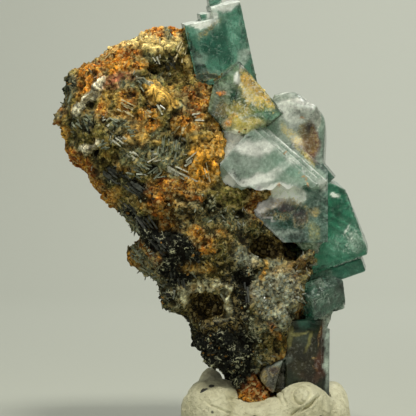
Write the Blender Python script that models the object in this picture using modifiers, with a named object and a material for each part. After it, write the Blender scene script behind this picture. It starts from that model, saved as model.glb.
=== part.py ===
"""A fluorite specimen: teal fluorite cubes grown on a lump of iron-stained rock, set upright in a lump of putty.

Frame: metres, +Z up, the origin at the middle of the putty's flat underside. The specimen's show side faces -Y,
its rock leans out to -X and its fluorite lies to +X.
"""

import math

import bmesh
import bpy
from mathutils import Euler, Matrix, Vector, noise

MM = 0.001

# What touches something else keeps this clearance to it, and one grown round another leaves this much room.
GAP = 0.3 * MM

# The lowest point of the rock, inside the putty, in millimetres.
ROCK_FOOT = 4.2

# How fine the rock and the putty are meshed, in millimetres and triangles.
ROCK_VOXEL = 0.8
ROCK_TRIANGLES = 5600
PUTTY_VOXEL = 0.7
PUTTY_TRIANGLES = 1300

# The rock's outline at each height, in millimetres: height, left, right, front, back.
ROCK_SECTIONS = [
    (62.4, -15.2, -12.6, -2.0, 1.5),
    (61.0, -18.8, -11.4, -4.0, 3.4),
    (59.2, -23.6, -10.4, -6.2, 5.4),
    (57.0, -25.4, -9.4, -7.6, 7.0),
    (54.8, -28.3, -8.6, -8.8, 8.2),
    (52.4, -29.8, -7.6, -9.8, 9.2),
    (49.4, -30.2, -5.6, -10.6, 9.8),
    (46.4, -30.4, -3.4, -10.8, 10.2),
    (43.4, -29.6, -1.2, -10.6, 10.4),
    (40.6, -27.6, 1.4, -10.2, 10.4),
    (38.0, -25.8, 3.6, -9.8, 10.2),
    (35.2, -23.2, 5.2, -9.6, 10.0),
    (32.4, -19.4, 6.6, -9.4, 9.6),
    (29.4, -17.6, 7.4, -9.2, 9.2),
    (26.4, -17.4, 7.4, -9.0, 8.8),
    (23.4, -16.4, 6.8, -8.8, 8.4),
    (20.4, -14.6, 6.2, -8.4, 7.8),
    (19.2, -12.6, 6.0, -8.2, 7.4),
    (18.2, -11.2, 5.8, -8.0, 7.2),
    (16.6, -10.8, 5.6, -7.6, 6.8),
    (14.4, -10.6, 5.0, -7.0, 6.2),
    (11.4, -8.4, 4.4, -6.2, 5.2),
    (8.6, -5.4, 3.4, -5.2, 4.2),
    (6.2, -3.2, 2.0, -3.8, 3.0),
    (ROCK_FOOT, -1.8, 1.0, -2.4, 1.8),
]
RING_POINTS = 36
RING_SQUARENESS = 2.5

# Knobs and ledges that stand out of the rock: centre, half sizes and turn about Y in degrees, millimetres.
ROCK_LUMPS = [
    ((-22.5, -6.6, 47.0), (7.4, 4.6, 5.0), 38),
    ((-25.6, -4.4, 50.8), (4.4, 4.8, 3.2), 40),
    ((-20.4, -2.2, 57.4), (4.4, 4.6, 2.6), 18),
    ((-14.6, -0.6, 60.4), (3.6, 3.4, 1.9), 10),
    ((-27.6, -3.2, 43.6), (2.9, 4.2, 2.6), 0),
    ((-23.6, -4.6, 39.6), (3.4, 4.6, 2.6), -45),
    ((-10.4, -8.0, 44.0), (3.2, 3.4, 6.4), 0),
    ((-12.4, -7.6, 36.4), (6.8, 3.6, 3.4), 8),
    ((-8.0, -7.8, 29.2), (6.4, 3.2, 4.4), -30),
    ((-15.0, -5.4, 29.2), (2.6, 4.4, 5.6), 42),
    ((-14.2, -5.2, 22.4), (1.9, 3.4, 3.4), 0),
    ((-5.8, -6.4, 14.6), (3.4, 3.0, 4.4), -38),
    ((-1.6, -4.6, 9.0), (3.0, 2.8, 3.6), 0),
    ((0.4, -7.4, 20.2), (4.4, 2.6, 5.4), 0),
    ((3.6, -6.0, 25.4), (3.4, 3.0, 3.4), 0),
    ((-18.0, 7.0, 47.0), (7.4, 4.6, 6.4), -20),
    ((-13.0, 7.4, 33.0), (6.2, 4.2, 5.4), 20),
    ((-5.0, 6.4, 20.0), (5.0, 3.4, 5.4), -15),
    ((-24.0, 3.4, 51.6), (4.4, 5.0, 3.2), 30),
    ((-29.3, -2.0, 53.4), (1.4, 2.4, 1.9), 0),
    ((-30.2, -2.6, 48.2), (1.9, 1.8, 1.1), -15),
    ((-18.7, -3.0, 26.8), (1.1, 3.0, 2.4), 40),
    ((-18.9, -2.0, 32.4), (1.3, 2.8, 2.0), 40),
]

# Hollows in the rock: centre and half sizes, millimetres.
ROCK_HOLLOWS = [
    ((-14.2, -11.2, 54.4), (4.6, 5.6, 4.2)),
    ((-14.4, -10.6, 47.6), (1.3, 3.8, 2.0)),
    ((-24.6, -11.4, 38.2), (2.0, 3.6, 1.7)),
    ((-9.3, -10.2, 19.8), (2.9, 4.6, 2.5)),
    ((1.8, -11.2, 28.5), (4.7, 5.2, 1.9)),
    ((-4.6, -11.8, 32.6), (2.6, 4.2, 3.4)),
    ((4.6, -9.6, 24.6), (1.0, 4.0, 2.6)),
    ((-17.0, -10.0, 33.6), (1.9, 3.0, 1.3)),
    ((-20.0, 12.6, 40.6), (3.6, 4.0, 2.6)),
    ((-8.0, 12.0, 26.4), (3.2, 4.2, 2.4)),
    ((-20.6, 12.6, 55.0), (3.0, 4.0, 2.4)),
]

# The rock's roughness: texture kind, size of its features and height, millimetres.
ROCK_ROUGHNESS = [
    ("VORONOI", 4.6, 2.0),
    ("CLOUDS", 2.8, 1.6),
]

# The putty's lobes: centre and half sizes, millimetres.
PUTTY_LOBES = [
    ((-7.8, -2.6, 3.6), (5.3, 7.4, 5.5)),
    ((-8.4, 4.0, 4.6), (2.6, 4.6, 5.7)),
    ((0.0, -3.4, 2.6), (7.4, 7.0, 4.3)),
    ((5.4, -4.2, 3.8), (4.6, 5.6, 5.3)),
    ((8.8, 0.4, 2.8), (4.3, 6.8, 4.4)),
    ((10.2, 4.2, 3.4), (3.0, 4.4, 4.7)),
    ((0.6, 4.4, 3.0), (8.4, 5.8, 4.4)),
]

# The fluorite crystals. Each is one or more boxes that share a direction, as crystals in parallel growth do.
# A box is named by a corner of its show face (x, y, z), by which way it runs from there (+1 or -1 along its own
# width and height) and by its width, height and depth, in millimetres. Turn is roll in the picture plane,
# pitch forward and yaw to the right, in degrees. A facet cuts a crystal off at a point, beyond a plane that
# faces the direction given after it.
CRYSTALS = {
    "top": {
        "turn": (13.0, 8.0, 5.0),
        "boxes": [
            ((-4.1, -7.6, 65.7), (-1, -1), (4.5, 12.4, 8.4)),
            ((-4.2, -7.4, 63.9), (-1, -1), (8.4, 9.6, 7.6)),
            ((-5.4, -6.6, 64.8), (-1, -1), (4.8, 9.6, 6.2)),
            ((-6.9, -4.4, 66.6), (-1, -1), (1.9, 8.0, 4.4)),
        ],
    },
    "stained": {
        "turn": (-48.6, 4.0, 6.0),
        "boxes": [
            ((-4.2, -10.2, 56.5), (1, -1), (10.2, 8.4, 9.6)),
        ],
        "facets": [
            ((-8.7, 0.0, 50.0), (-0.97, 0.0, 0.22)),
            ((-3.3, 0.0, 45.3), (0.438, 0.0, -0.899)),
            ((-3.3, 0.0, 45.3), (-0.291, 0.0, -0.957)),
        ],
    },
    "stained plate": {
        "turn": (-48.6, 4.0, 6.0),
        "boxes": [
            ((-4.1, -10.8, 56.0), (1, -1), (9.7, 8.0, 6.0)),
        ],
        "facets": [
            ((-4.6, -10.8, 50.0), (-0.9, -0.42, 0.1)),
            ((-3.3, 0.0, 45.7), (0.438, 0.0, -0.899)),
            ((-3.3, 0.0, 45.7), (-0.291, 0.0, -0.957)),
        ],
    },
    "frosted": {
        "turn": (-41.6, -4.0, 4.0),
        "boxes": [
            ((-1.35, -8.8, 47.85), (1, -1), (13.7, 11.4, 10.6)),
            ((-1.8, -9.4, 47.4), (1, -1), (13.4, 10.8, 9.0)),
            ((-2.3, -9.9, 46.8), (1, -1), (13.0, 10.0, 9.0)),
        ],
        "facets": [
            ((-7.1, 0.0, 40.0), (-1.0, 0.0, 0.0)),
            ((8.9, 0.0, 36.0), (1.0, 0.0, 0.0)),
            ((0.0, 0.0, 37.8), (0.0, 0.0, -1.0)),
            ((-5.4, -9.9, 44.6), (-0.51, -0.72, 0.47)),
            ((-5.6, -10.4, 39.3), (-0.53, -0.7, -0.46)),
        ],
    },
    "frosted corner": {
        "turn": (-3.0, -4.0, -12.0),
        "boxes": [
            ((-2.6, -9.3, 46.4), (-1, -1), (4.3, 8.6, 8.0)),
        ],
    },
    "mottled": {
        "turn": (-42.5, 3.0, 4.0),
        "boxes": [
            ((-3.9, -9.0, 35.4), (1, 1), (14.6, 12.4, 9.6)),
        ],
        "facets": [
            ((-2.1, 0.0, 34.0), (-1.0, 0.0, 0.0)),
            ((9.0, 0.0, 36.0), (1.0, 0.0, 0.0)),
            ((0.0, 0.0, 29.7), (0.0, 0.0, -1.0)),
            ((-1.8, -8.9, 33.4), (-0.14, -0.91, 0.4)),
        ],
    },
    "mottled side": {
        "turn": (-6.0, 2.0, -2.0),
        "boxes": [
            ((8.8, -7.9, 36.6), (-1, -1), (3.4, 8.8, 7.0)),
        ],
    },
    "shoulder corner": {
        "turn": (-17.3, 34.8, -43.9),
        "boxes": [
            ((6.9, -7.4, 49.6), (-1, -1), (6.2, 9.4, 1.9)),
        ],
    },
    "shoulder": {
        "turn": (-3.5, 3.0, -6.0),
        "boxes": [
            ((9.2, -5.2, 52.9), (-1, -1), (10.4, 15.3, 10.4)),
        ],
        "facets": [
            ((1.3, 0.0, 52.35), (-0.97, 0.0, 0.24)),
            ((8.95, 0.0, 48.3), (0.894, 0.0, 0.447)),
            ((8.0, 0.0, 50.2), (0.62, -0.1, 0.784)),
            ((5.85, 0.0, 51.9), (0.368, 0.12, 0.93)),
            ((3.45, 0.0, 52.8), (-0.226, -0.1, 0.974)),
        ],
    },
    "green": {
        "turn": (19.5, 4.0, -6.0),
        "boxes": [
            ((11.1, -5.2, 39.2), (-1, -1), (9.0, 12.1, 9.4)),
            ((11.8, -4.2, 38.0), (-1, -1), (8.4, 10.4, 8.2)),
            ((14.3, -3.8, 27.2), (-1, -1), (7.6, 2.1, 6.6)),
        ],
        "facets": [
            ((11.55, 0.0, 38.2), (0.888, 0.0, 0.459)),
            ((11.55, 0.0, 38.2), (0.447, -0.1, 0.894)),
        ],
    },
    "wedge": {
        "turn": (-50.0, 4.0, -6.0),
        "boxes": [
            ((8.4, -4.6, 41.6), (1, -1), (2.9, 3.6, 5.4)),
        ],
    },
    "heel": {
        "turn": (25.2, 18.7, 41.7),
        "boxes": [
            ((11.6, -4.6, 23.9), (-1, -1), (6.4, 4.2, 6.6)),
        ],
    },
    "heel inner": {
        "turn": (20.0, 4.0, -6.0),
        "boxes": [
            ((8.2, -6.0, 24.6), (-1, -1), (4.4, 4.6, 9.0)),
            ((9.4, -3.4, 26.6), (-1, -1), (4.8, 7.6, 6.0)),
        ],
    },
    "sliver": {
        "turn": (-17.0, 3.0, 8.0),
        "boxes": [
            ((10.3, -4.0, 19.3), (-1, -1), (2.6, 4.6, 4.4)),
        ],
    },
    "foot": {
        "turn": (0.0, 2.0, 10.0),
        "boxes": [
            ((9.6, -3.8, 16.6), (-1, -1), (6.4, 10.4, 7.2)),
            ((8.4, -4.9, 18.0), (-1, -1), (5.6, 11.8, 7.6)),
        ],
    },
    "toe": {
        "turn": (-15.0, 3.0, 12.0),
        "boxes": [
            ((3.0, -7.0, 12.6), (-1, -1), (3.3, 6.4, 6.4)),
            ((4.4, -4.4, 11.4), (-1, -1), (5.4, 5.4, 4.6)),
        ],
        "facets": [
            ((-0.4, 0.0, 7.8), (-0.75, 0.0, -0.66)),
            ((0.3, 0.0, 12.8), (-0.45, -0.2, 0.87)),
        ],
    },
    "back upper": {
        "turn": (28.0, -6.0, 8.0),
        "boxes": [
            ((-2.9, 3.0, 56.0), (-1, -1), (8.6, 9.6, 8.4)),
            ((-3.7, 3.6, 54.6), (-1, -1), (6.4, 7.0, 9.0)),
        ],
    },
    "back middle": {
        "turn": (-24.0, -5.0, -10.0),
        "boxes": [
            ((7.6, 2.4, 42.0), (-1, -1), (9.0, 9.4, 8.6)),
            ((8.4, 3.6, 40.0), (-1, -1), (6.6, 6.8, 8.4)),
        ],
    },
    "back lower": {
        "turn": (18.0, -4.0, 14.0),
        "boxes": [
            ((7.8, 2.0, 27.6), (-1, -1), (7.0, 9.0, 6.6)),
        ],
    },
}
CRYSTAL_BEVEL = 0.16

# Each material's colour, roughness and metallic value.
FINISHES = {
    "iron_stained_rock": ((0.34, 0.24, 0.10), 0.9, 0.0),
    "teal_fluorite": ((0.16, 0.38, 0.31), 0.2, 0.0),
    "putty": ((0.63, 0.60, 0.50), 0.7, 0.0),
}

def clear_scene():
    for thing in list(bpy.data.objects):
        bpy.data.objects.remove(thing)


def new_collection(name):
    made = bpy.data.collections.new(name)
    bpy.context.scene.collection.children.link(made)
    return made


def material(name):
    """The Principled finish of that name, made the first time it is asked for."""
    if name in bpy.data.materials:
        return bpy.data.materials[name]
    colour, roughness, metallic = FINISHES[name]
    made = bpy.data.materials.new(name)
    made.use_nodes = True
    shader = made.node_tree.nodes["Principled BSDF"]
    shader.inputs["Base Color"].default_value = (*colour, 1.0)
    shader.inputs["Roughness"].default_value = roughness
    shader.inputs["Metallic"].default_value = metallic
    return made


def object_from(shape, name, collection, finish=None):
    """A mesh object from a bmesh, which is freed."""
    mesh = bpy.data.meshes.new(name)
    shape.to_mesh(mesh)
    shape.free()
    made = bpy.data.objects.new(name, mesh)
    collection.objects.link(made)
    if finish:
        mesh.materials.append(material(finish))
    return made


def as_cutter(thing):
    thing.hide_render = True
    thing.display_type = "WIRE"
    return thing


def boolean(target, other, operation):
    step = target.modifiers.new(f"{operation.lower()}_{other.name}", "BOOLEAN")
    step.operation = operation
    step.solver = "EXACT"
    step.object = other
    return step


def evaluated_mesh(thing):
    """The mesh of an object with its modifiers applied."""
    bpy.context.view_layer.update()
    graph = bpy.context.evaluated_depsgraph_get()
    return bpy.data.meshes.new_from_object(thing.evaluated_get(graph))


def bake(thing):
    """Puts the modifiers' result in the object's own mesh and keeps only its largest body."""
    mesh = evaluated_mesh(thing)
    thing.modifiers.clear()
    thing.data = mesh
    shape = bmesh.new()
    shape.from_mesh(mesh)
    waiting = set(shape.verts)
    bodies = []
    while waiting:
        front = [waiting.pop()]
        body = list(front)
        while front:
            here = front.pop()
            for edge in here.link_edges:
                there = edge.other_vert(here)
                if there in waiting:
                    waiting.remove(there)
                    front.append(there)
                    body.append(there)
        bodies.append(body)
    bodies.sort(key=len)
    for body in bodies[:-1]:
        bmesh.ops.delete(shape, geom=body, context="VERTS")
    shape.to_mesh(mesh)
    shape.free()
    return thing


def ellipsoid(name, centre, half_sizes, turn, collection, subdivisions=3):
    """An icosphere stretched to half_sizes, turned about Y, in millimetres and degrees."""
    shape = bmesh.new()
    bmesh.ops.create_icosphere(shape, subdivisions=subdivisions, radius=1.0)
    stretch = Matrix.Diagonal((*half_sizes, 1.0))
    place = Matrix.Translation(centre) @ Matrix.Rotation(math.radians(-turn), 4, "Y")
    shape.transform(Matrix.Scale(MM, 4) @ place @ stretch)
    return object_from(shape, name, collection)


def ring_point(section, angle):
    """A point of one of the rock's sections: a rounded rectangle between its four sides."""
    height, left, right, front, back = section
    across = math.cos(angle)
    along = math.sin(angle)
    power = 2.0 / RING_SQUARENESS
    x = math.copysign(abs(across) ** power, across) * (right - left) / 2
    y = math.copysign(abs(along) ** power, along) * (back - front) / 2
    return Vector(((left + right) / 2 + x, (front + back) / 2 + y, height)) * MM


def rock_body(collection):
    """The rock's mass, lofted through its sections."""
    shape = bmesh.new()
    rings = []
    for section in ROCK_SECTIONS:
        angles = [2 * math.pi * step / RING_POINTS for step in range(RING_POINTS)]
        rings.append([shape.verts.new(ring_point(section, angle)) for angle in angles])
    for upper, lower in zip(rings, rings[1:]):
        for step in range(RING_POINTS):
            after = (step + 1) % RING_POINTS
            shape.faces.new((upper[step], lower[step], lower[after], upper[after]))
    shape.faces.new(rings[0])
    shape.faces.new(list(reversed(rings[-1])))
    bmesh.ops.recalc_face_normals(shape, faces=shape.faces)
    return object_from(shape, "rock_body", collection)


def fused(name, pieces, voxel, collection, finish):
    """One closed skin over several overlapping pieces, which are used up."""
    shape = bmesh.new()
    for piece in pieces:
        shape.from_mesh(piece.data)
        bpy.data.objects.remove(piece)
    made = object_from(shape, name, collection, finish)
    skin = made.modifiers.new("skin", "REMESH")
    skin.mode = "VOXEL"
    skin.voxel_size = voxel * MM
    return made


def roughened(thing, roughness):
    """Displaces the surface along its normals by seeded noise textures."""
    for index, (kind, size, height) in enumerate(roughness):
        texture = bpy.data.textures.new(f"{thing.name}_rough_{index}", kind)
        texture.noise_scale = size * MM
        step = thing.modifiers.new(f"rough_{index}", "DISPLACE")
        step.texture = texture
        step.texture_coords = "LOCAL"
        step.strength = height * MM
        step.mid_level = 0.5


def thinned(thing, triangles):
    """Brings a mesh down to about that many triangles."""
    now = sum(len(face.vertices) - 2 for face in evaluated_mesh(thing).polygons)
    step = thing.modifiers.new("thin", "DECIMATE")
    step.ratio = min(1.0, triangles / now)
    step.use_collapse_triangulate = True


def crystal_turn(turn):
    """The rotation of a crystal from roll, pitch and yaw in degrees."""
    roll, pitch, yaw = (math.radians(angle) for angle in turn)
    return Matrix.Rotation(yaw, 4, "Z") @ Matrix.Rotation(pitch, 4, "X") @ Matrix.Rotation(-roll, 4, "Y")


def crystal_box(name, turn, box, collection, grown=0.0, bevel=0.0):
    """One box of a crystal, grown by a margin on every side, with small bevels on its edges."""
    corner, runs, size = box
    width, height, depth = size
    shape = bmesh.new()
    bmesh.ops.create_cube(shape, size=1.0)
    centre = Vector((runs[0] * width / 2, depth / 2, runs[1] * height / 2))
    stretch = Matrix.Diagonal((width + 2 * grown, depth + 2 * grown, height + 2 * grown, 1.0))
    place = Matrix.Translation(corner) @ crystal_turn(turn) @ Matrix.Translation(centre)
    shape.transform(Matrix.Scale(MM, 4) @ place @ stretch)
    if bevel:
        edges = list(shape.edges)
        bmesh.ops.bevel(shape, geom=edges, offset=bevel * MM, segments=1, affect="EDGES", clamp_overlap=True)
    bmesh.ops.recalc_face_normals(shape, faces=shape.faces)
    return object_from(shape, name, collection)


def facet_block(name, point, outward, collection):
    """A block that fills what lies beyond a plane through a point, on the side that the plane faces."""
    size = 60.0
    shape = bmesh.new()
    bmesh.ops.create_cube(shape, size=size)
    facing = Vector(outward).normalized()
    turn = Vector((0.0, 0.0, 1.0)).rotation_difference(facing).to_matrix().to_4x4()
    place = Matrix.Translation(Vector(point) + facing * size / 2) @ turn
    shape.transform(Matrix.Scale(MM, 4) @ place)
    return as_cutter(object_from(shape, name, collection))


def room_for(name, cutters):
    """Cutters of a crystal's shape grown by the clearance, with the crystal's own facets."""
    entry = CRYSTALS[name]
    made = []
    for index, box in enumerate(entry["boxes"]):
        block = crystal_box(f"{name} room {index}", entry["turn"], box, cutters, GAP / MM)
        for number, (point, outward) in enumerate(entry.get("facets", [])):
            beyond = Vector(point) + Vector(outward).normalized() * GAP / MM
            cut = facet_block(f"{block.name} facet {number}", beyond, outward, cutters)
            boolean(block, cut, "DIFFERENCE")
        made.append(as_cutter(block))
    return made


def crystal(name, cutters):
    """One crystal: its boxes joined and cut off at its facets."""
    entry = CRYSTALS[name]
    first, *others = entry["boxes"]
    made = crystal_box(name, entry["turn"], first, cutters, bevel=CRYSTAL_BEVEL)
    for index, box in enumerate(others):
        block = crystal_box(f"{name} step {index}", entry["turn"], box, cutters, bevel=CRYSTAL_BEVEL)
        boolean(made, as_cutter(block), "UNION")
    for number, (point, outward) in enumerate(entry.get("facets", [])):
        boolean(made, facet_block(f"{name} facet {number}", point, outward, cutters), "DIFFERENCE")
    made.data = evaluated_mesh(made)
    made.modifiers.clear()
    return as_cutter(made)


def fluorite(parts, cutters):
    """The crystals, grown together into one solid."""
    grown = [crystal(name, cutters) for name in CRYSTALS]
    made = object_from(mesh_copy(grown[0]), "fluorite_crystals", parts, "teal_fluorite")
    for other in grown[1:]:
        boolean(made, other, "UNION")
    return bake(made)


def rock(parts, cutters, rooms):
    """The rock: lofted mass and lumps under one skin, roughened, hollowed and cut back from every crystal."""
    pieces = [rock_body(cutters)]
    for index, (centre, half_sizes, turn) in enumerate(ROCK_LUMPS):
        pieces.append(ellipsoid(f"rock_lump_{index}", centre, half_sizes, turn, cutters))
    made = fused("matrix_rock", pieces, ROCK_VOXEL, parts, "iron_stained_rock")
    for index, (centre, half_sizes) in enumerate(ROCK_HOLLOWS):
        hollow = ellipsoid(f"rock_hollow_{index}", centre, half_sizes, 0, cutters)
        boolean(made, as_cutter(hollow), "DIFFERENCE")
    again = made.modifiers.new("skin_again", "REMESH")
    again.mode = "VOXEL"
    again.voxel_size = ROCK_VOXEL * MM
    roughened(made, ROCK_ROUGHNESS)
    last = made.modifiers.new("skin_last", "REMESH")
    last.mode = "VOXEL"
    last.voxel_size = ROCK_VOXEL * MM
    thinned(made, ROCK_TRIANGLES)
    for neighbour in CRYSTALS:
        for room in rooms[neighbour]:
            boolean(made, room, "DIFFERENCE")
    return bake(made)


def putty(parts, cutters, rooms, stone):
    """The putty: pinched lobes under one skin, flat underneath, pressed round the specimen's foot."""
    pieces = [
        ellipsoid(f"putty_lobe_{index}", centre, half_sizes, 0, cutters)
        for index, (centre, half_sizes) in enumerate(PUTTY_LOBES)
    ]
    made = fused("putty_base", pieces, PUTTY_VOXEL, parts, "putty")
    soften = made.modifiers.new("soften", "SMOOTH")
    soften.factor = 0.5
    soften.iterations = 6
    thinned(made, PUTTY_TRIANGLES)
    underside = facet_block("putty_underside", (0.0, 0.0, 0.0), (0.0, 0.0, -1.0), cutters)
    boolean(made, underside, "DIFFERENCE")
    room = object_from(mesh_copy(stone), "rock_room", cutters)
    grow = room.modifiers.new("grow", "DISPLACE")
    grow.strength = 1.5 * GAP
    grow.mid_level = 0.0
    skin = room.modifiers.new("skin", "REMESH")
    skin.mode = "VOXEL"
    skin.voxel_size = PUTTY_VOXEL * MM
    thinned(room, ROCK_TRIANGLES / 2)
    boolean(made, as_cutter(room), "DIFFERENCE")
    for neighbour in ("toe", "foot"):
        for block in rooms[neighbour]:
            boolean(made, block, "DIFFERENCE")
    return bake(made)


def mesh_copy(thing):
    shape = bmesh.new()
    shape.from_mesh(thing.data)
    return shape


def main():
    clear_scene()
    parts = new_collection("fluorite_specimen")
    cutters = new_collection("cutters")
    rooms = {name: room_for(name, cutters) for name in CRYSTALS}
    fluorite(parts, cutters)
    stone = rock(parts, cutters, rooms)
    putty(parts, cutters, rooms, stone)


main()
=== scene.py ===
import math

import bmesh
import bpy
import numpy as np
from mathutils import Euler, Matrix, Vector, noise
from mathutils.bvhtree import BVHTree


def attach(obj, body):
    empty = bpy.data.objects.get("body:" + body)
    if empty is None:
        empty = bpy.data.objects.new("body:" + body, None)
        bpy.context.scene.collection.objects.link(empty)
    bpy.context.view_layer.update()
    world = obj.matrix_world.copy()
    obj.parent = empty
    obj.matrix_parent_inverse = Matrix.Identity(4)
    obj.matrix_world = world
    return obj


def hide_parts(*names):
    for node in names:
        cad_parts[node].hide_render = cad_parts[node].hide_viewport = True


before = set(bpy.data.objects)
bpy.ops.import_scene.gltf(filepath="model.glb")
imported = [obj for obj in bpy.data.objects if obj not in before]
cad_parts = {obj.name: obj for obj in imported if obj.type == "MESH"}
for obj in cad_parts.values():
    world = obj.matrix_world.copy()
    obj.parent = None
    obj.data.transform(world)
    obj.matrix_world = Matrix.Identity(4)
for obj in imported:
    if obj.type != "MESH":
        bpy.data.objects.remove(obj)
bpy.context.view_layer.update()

MM = 0.001

# The studio
# A pale sweep of card under and behind the specimen, a small lamp close above it, a weak one in front and
# a strong one for the card. The camera looks level at the middle of the stone through a long lens.

CARD_COLOUR = (0.479, 0.495, 0.423)
SWEEP_START = 0.40
SWEEP_RADIUS = 0.45
SWEEP_TOP = 1.3
SWEEP_PARTS = 18
LOOK_AT = Vector((-8.85, -6.0, 34.8)) * MM
CAMERA_DISTANCE = 260 * MM
LENS = 150
ROOM_COLOUR = (0.53, 0.545, 0.47)
ROOM_STRENGTH = 0.3
WARM_WHITE = (1.0, 0.985, 0.91)
# Each lamp's place, size, power in watts, colour and the point that it faces.
LAMPS = {
    "lamp_above": ((0.02, -0.12, 0.24), 0.07, 0.43, WARM_WHITE, LOOK_AT),
    "lamp_front": ((-0.22, -0.30, 0.12), 0.16, 0.18, (1, 1, 1), LOOK_AT),
    "lamp_overhead": ((0.2, 0.2, 0.65), 0.3, 4.9, (1, 1, 1), (0.03, 0.9, 0.1)),
}


class Value:
    """What one output of a node tree carries. Sums and products of values add maths nodes to the tree."""

    def __init__(self, tree, socket):
        self.tree, self.socket = tree, socket

    def beside(self, output):
        """Another output of the same node."""
        return Value(self.tree, self.socket.node.outputs[output])

    def __add__(self, other):
        return maths("ADD", self, other)

    def __sub__(self, other):
        return maths("SUBTRACT", self, other)

    def __rsub__(self, other):
        return maths("SUBTRACT", other, self)

    def __mul__(self, other):
        return maths("MULTIPLY", self, other)

    def __rtruediv__(self, other):
        return maths("DIVIDE", other, self)

    def __abs__(self):
        return maths("ABSOLUTE", self)


def feed(socket, value):
    """Links a value to a node's input, or sets the input to a number or a colour."""
    if isinstance(value, Value):
        value.tree.links.new(value.socket, socket)
    elif socket.type == "RGBA":
        socket.default_value = (*value, 1)
    else:
        socket.default_value = value


def step(tree, kind, inputs=None, output=0, **settings):
    """Adds a node with its settings, feeds its inputs and returns one of its outputs."""
    made = tree.nodes.new(kind)
    for name, value in settings.items():
        setattr(made, name, value)
    for name, value in (inputs or {}).items():
        feed(made.inputs[name], value)
    return Value(tree, made.outputs[output]) if made.outputs else None


def shared_tree(*inputs):
    """The tree of the first value among some inputs."""
    return next(value.tree for value in inputs if isinstance(value, Value))


def maths(operation, first, second=0.0, clamp=False):
    """One maths node on two numbers."""
    tree = shared_tree(first, second)
    return step(tree, "ShaderNodeMath", {0: first, 1: second}, operation=operation, use_clamp=clamp)


def texture(at, size, detail=4.0, roughness=0.6, distortion=0.0):
    """Noise with features of that size in millimetres."""
    inputs = {"Vector": at, "Scale": 1 / (size * MM), "Detail": detail, "Roughness": roughness}
    return step(at.tree, "ShaderNodeTexNoise", {**inputs, "Distortion": distortion})


def material(name):
    """A new material, its shader, and the object's own coordinates to lay patterns on."""
    made = bpy.data.materials.new(name)
    made.use_nodes = True
    tree = made.node_tree
    return made, tree.nodes["Principled BSDF"], step(tree, "ShaderNodeTexCoord", output="Object")


def finish(shader, colour, roughness, height=None, strength=0.6, reach=0.1, **even):
    """Feeds a shader its colour, roughness and bump, with a reach in millimetres, and sets the even rest."""
    feed(shader.inputs["Base Color"], colour)
    feed(shader.inputs["Roughness"], roughness)
    if height:
        bump = {"Height": height, "Strength": strength, "Distance": reach * MM}
        feed(shader.inputs["Normal"], step(height.tree, "ShaderNodeBump", bump))
    for name, value in even.items():
        shader.inputs[name.replace("_", " ")].default_value = value


def in_scene(name, data):
    """A new object in the scene."""
    made = bpy.data.objects.new(name, data)
    bpy.context.scene.collection.objects.link(made)
    return made


def shape_object(name, shape):
    """A mesh object from a bmesh, which is freed."""
    mesh = bpy.data.meshes.new(name)
    shape.to_mesh(mesh)
    shape.free()
    return in_scene(name, mesh)


sweep = bmesh.new()
profile = [(-0.9, 0.0), (SWEEP_START, 0.0)]
for part in range(1, SWEEP_PARTS + 1):
    turn = math.pi / 2 * part / SWEEP_PARTS
    profile.append((SWEEP_START + SWEEP_RADIUS * math.sin(turn), SWEEP_RADIUS * (1 - math.cos(turn))))
profile.append((SWEEP_START + SWEEP_RADIUS, SWEEP_TOP))
rows = [[sweep.verts.new((side, along, height)) for side in (-1.1, 1.1)] for along, height in profile]
for before, after in zip(rows, rows[1:]):
    sweep.faces.new((before[0], before[1], after[1], after[0]))
card_sweep = shape_object("card_sweep", sweep)
card_sweep.data.shade_smooth()
card, shader, spot = material("pale_card")
finish(shader, CARD_COLOUR, 0.9, texture(spot, 2.0, 3.0, 0.5), 0.05, 1.0)
card_sweep.data.materials.append(card)

for name, (place, size, power, tint, aim) in LAMPS.items():
    light = bpy.data.lights.new(name, "AREA")
    light.size = size
    light.energy = power
    light.color = tint
    lamp = in_scene(name, light)
    lamp.location = place
    lamp.rotation_euler = (Vector(aim) - Vector(place)).to_track_quat("-Z", "Y").to_euler()

room = bpy.data.worlds.new("room")
room.use_nodes = True
feed(room.node_tree.nodes["Background"].inputs["Color"], ROOM_COLOUR)
feed(room.node_tree.nodes["Background"].inputs["Strength"], ROOM_STRENGTH)
bpy.context.scene.world = room
bpy.context.scene.view_settings.view_transform = "Standard"

lens = bpy.data.cameras.new("camera")
lens.lens = LENS
lens.sensor_width = 36
lens.clip_start = 0.01
camera = in_scene("camera", lens)
camera.location = LOOK_AT - Vector((0, CAMERA_DISTANCE, 0))
camera.rotation_euler = (math.radians(90), 0, 0)
bpy.context.scene.camera = camera

# The rock
# A lump of iron-rich gossan, the leached and rusted top of an ore vein: cellular, crumbly, ochre and orange
# above, black and platy at its lower left, with a patch of grey quartz beside the fluorite.
# It is one natural mass, and the fluorite grew on it.

ROCK_GRAIN = 0.33
FRONT_LIMIT = -10.9
FRONT_SLACK = 0.45
WANDER_SEED = 11
BARE_KINDS = ("chalk", "loam", "crust")
BARE_RIM = 0.45
LOW_SHADE = 0.32
GROWN_REACH = 0.42
# The stone's roughness, in metres and radians: the walls of its boxwork, pores, lumps and leaning plates.
ROUGHNESS = {
    "Cell": 2.3 * MM, "Cell depth": 0.75 * MM, "Pore": 1.05 * MM, "Pore depth": 0.42 * MM,
    "Lump": 1.5 * MM, "Lump height": 1.3 * MM,
    "Blade": 1.2 * MM, "Blade depth": 1.1 * MM, "Blade lean": math.radians(-41),
}

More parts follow.
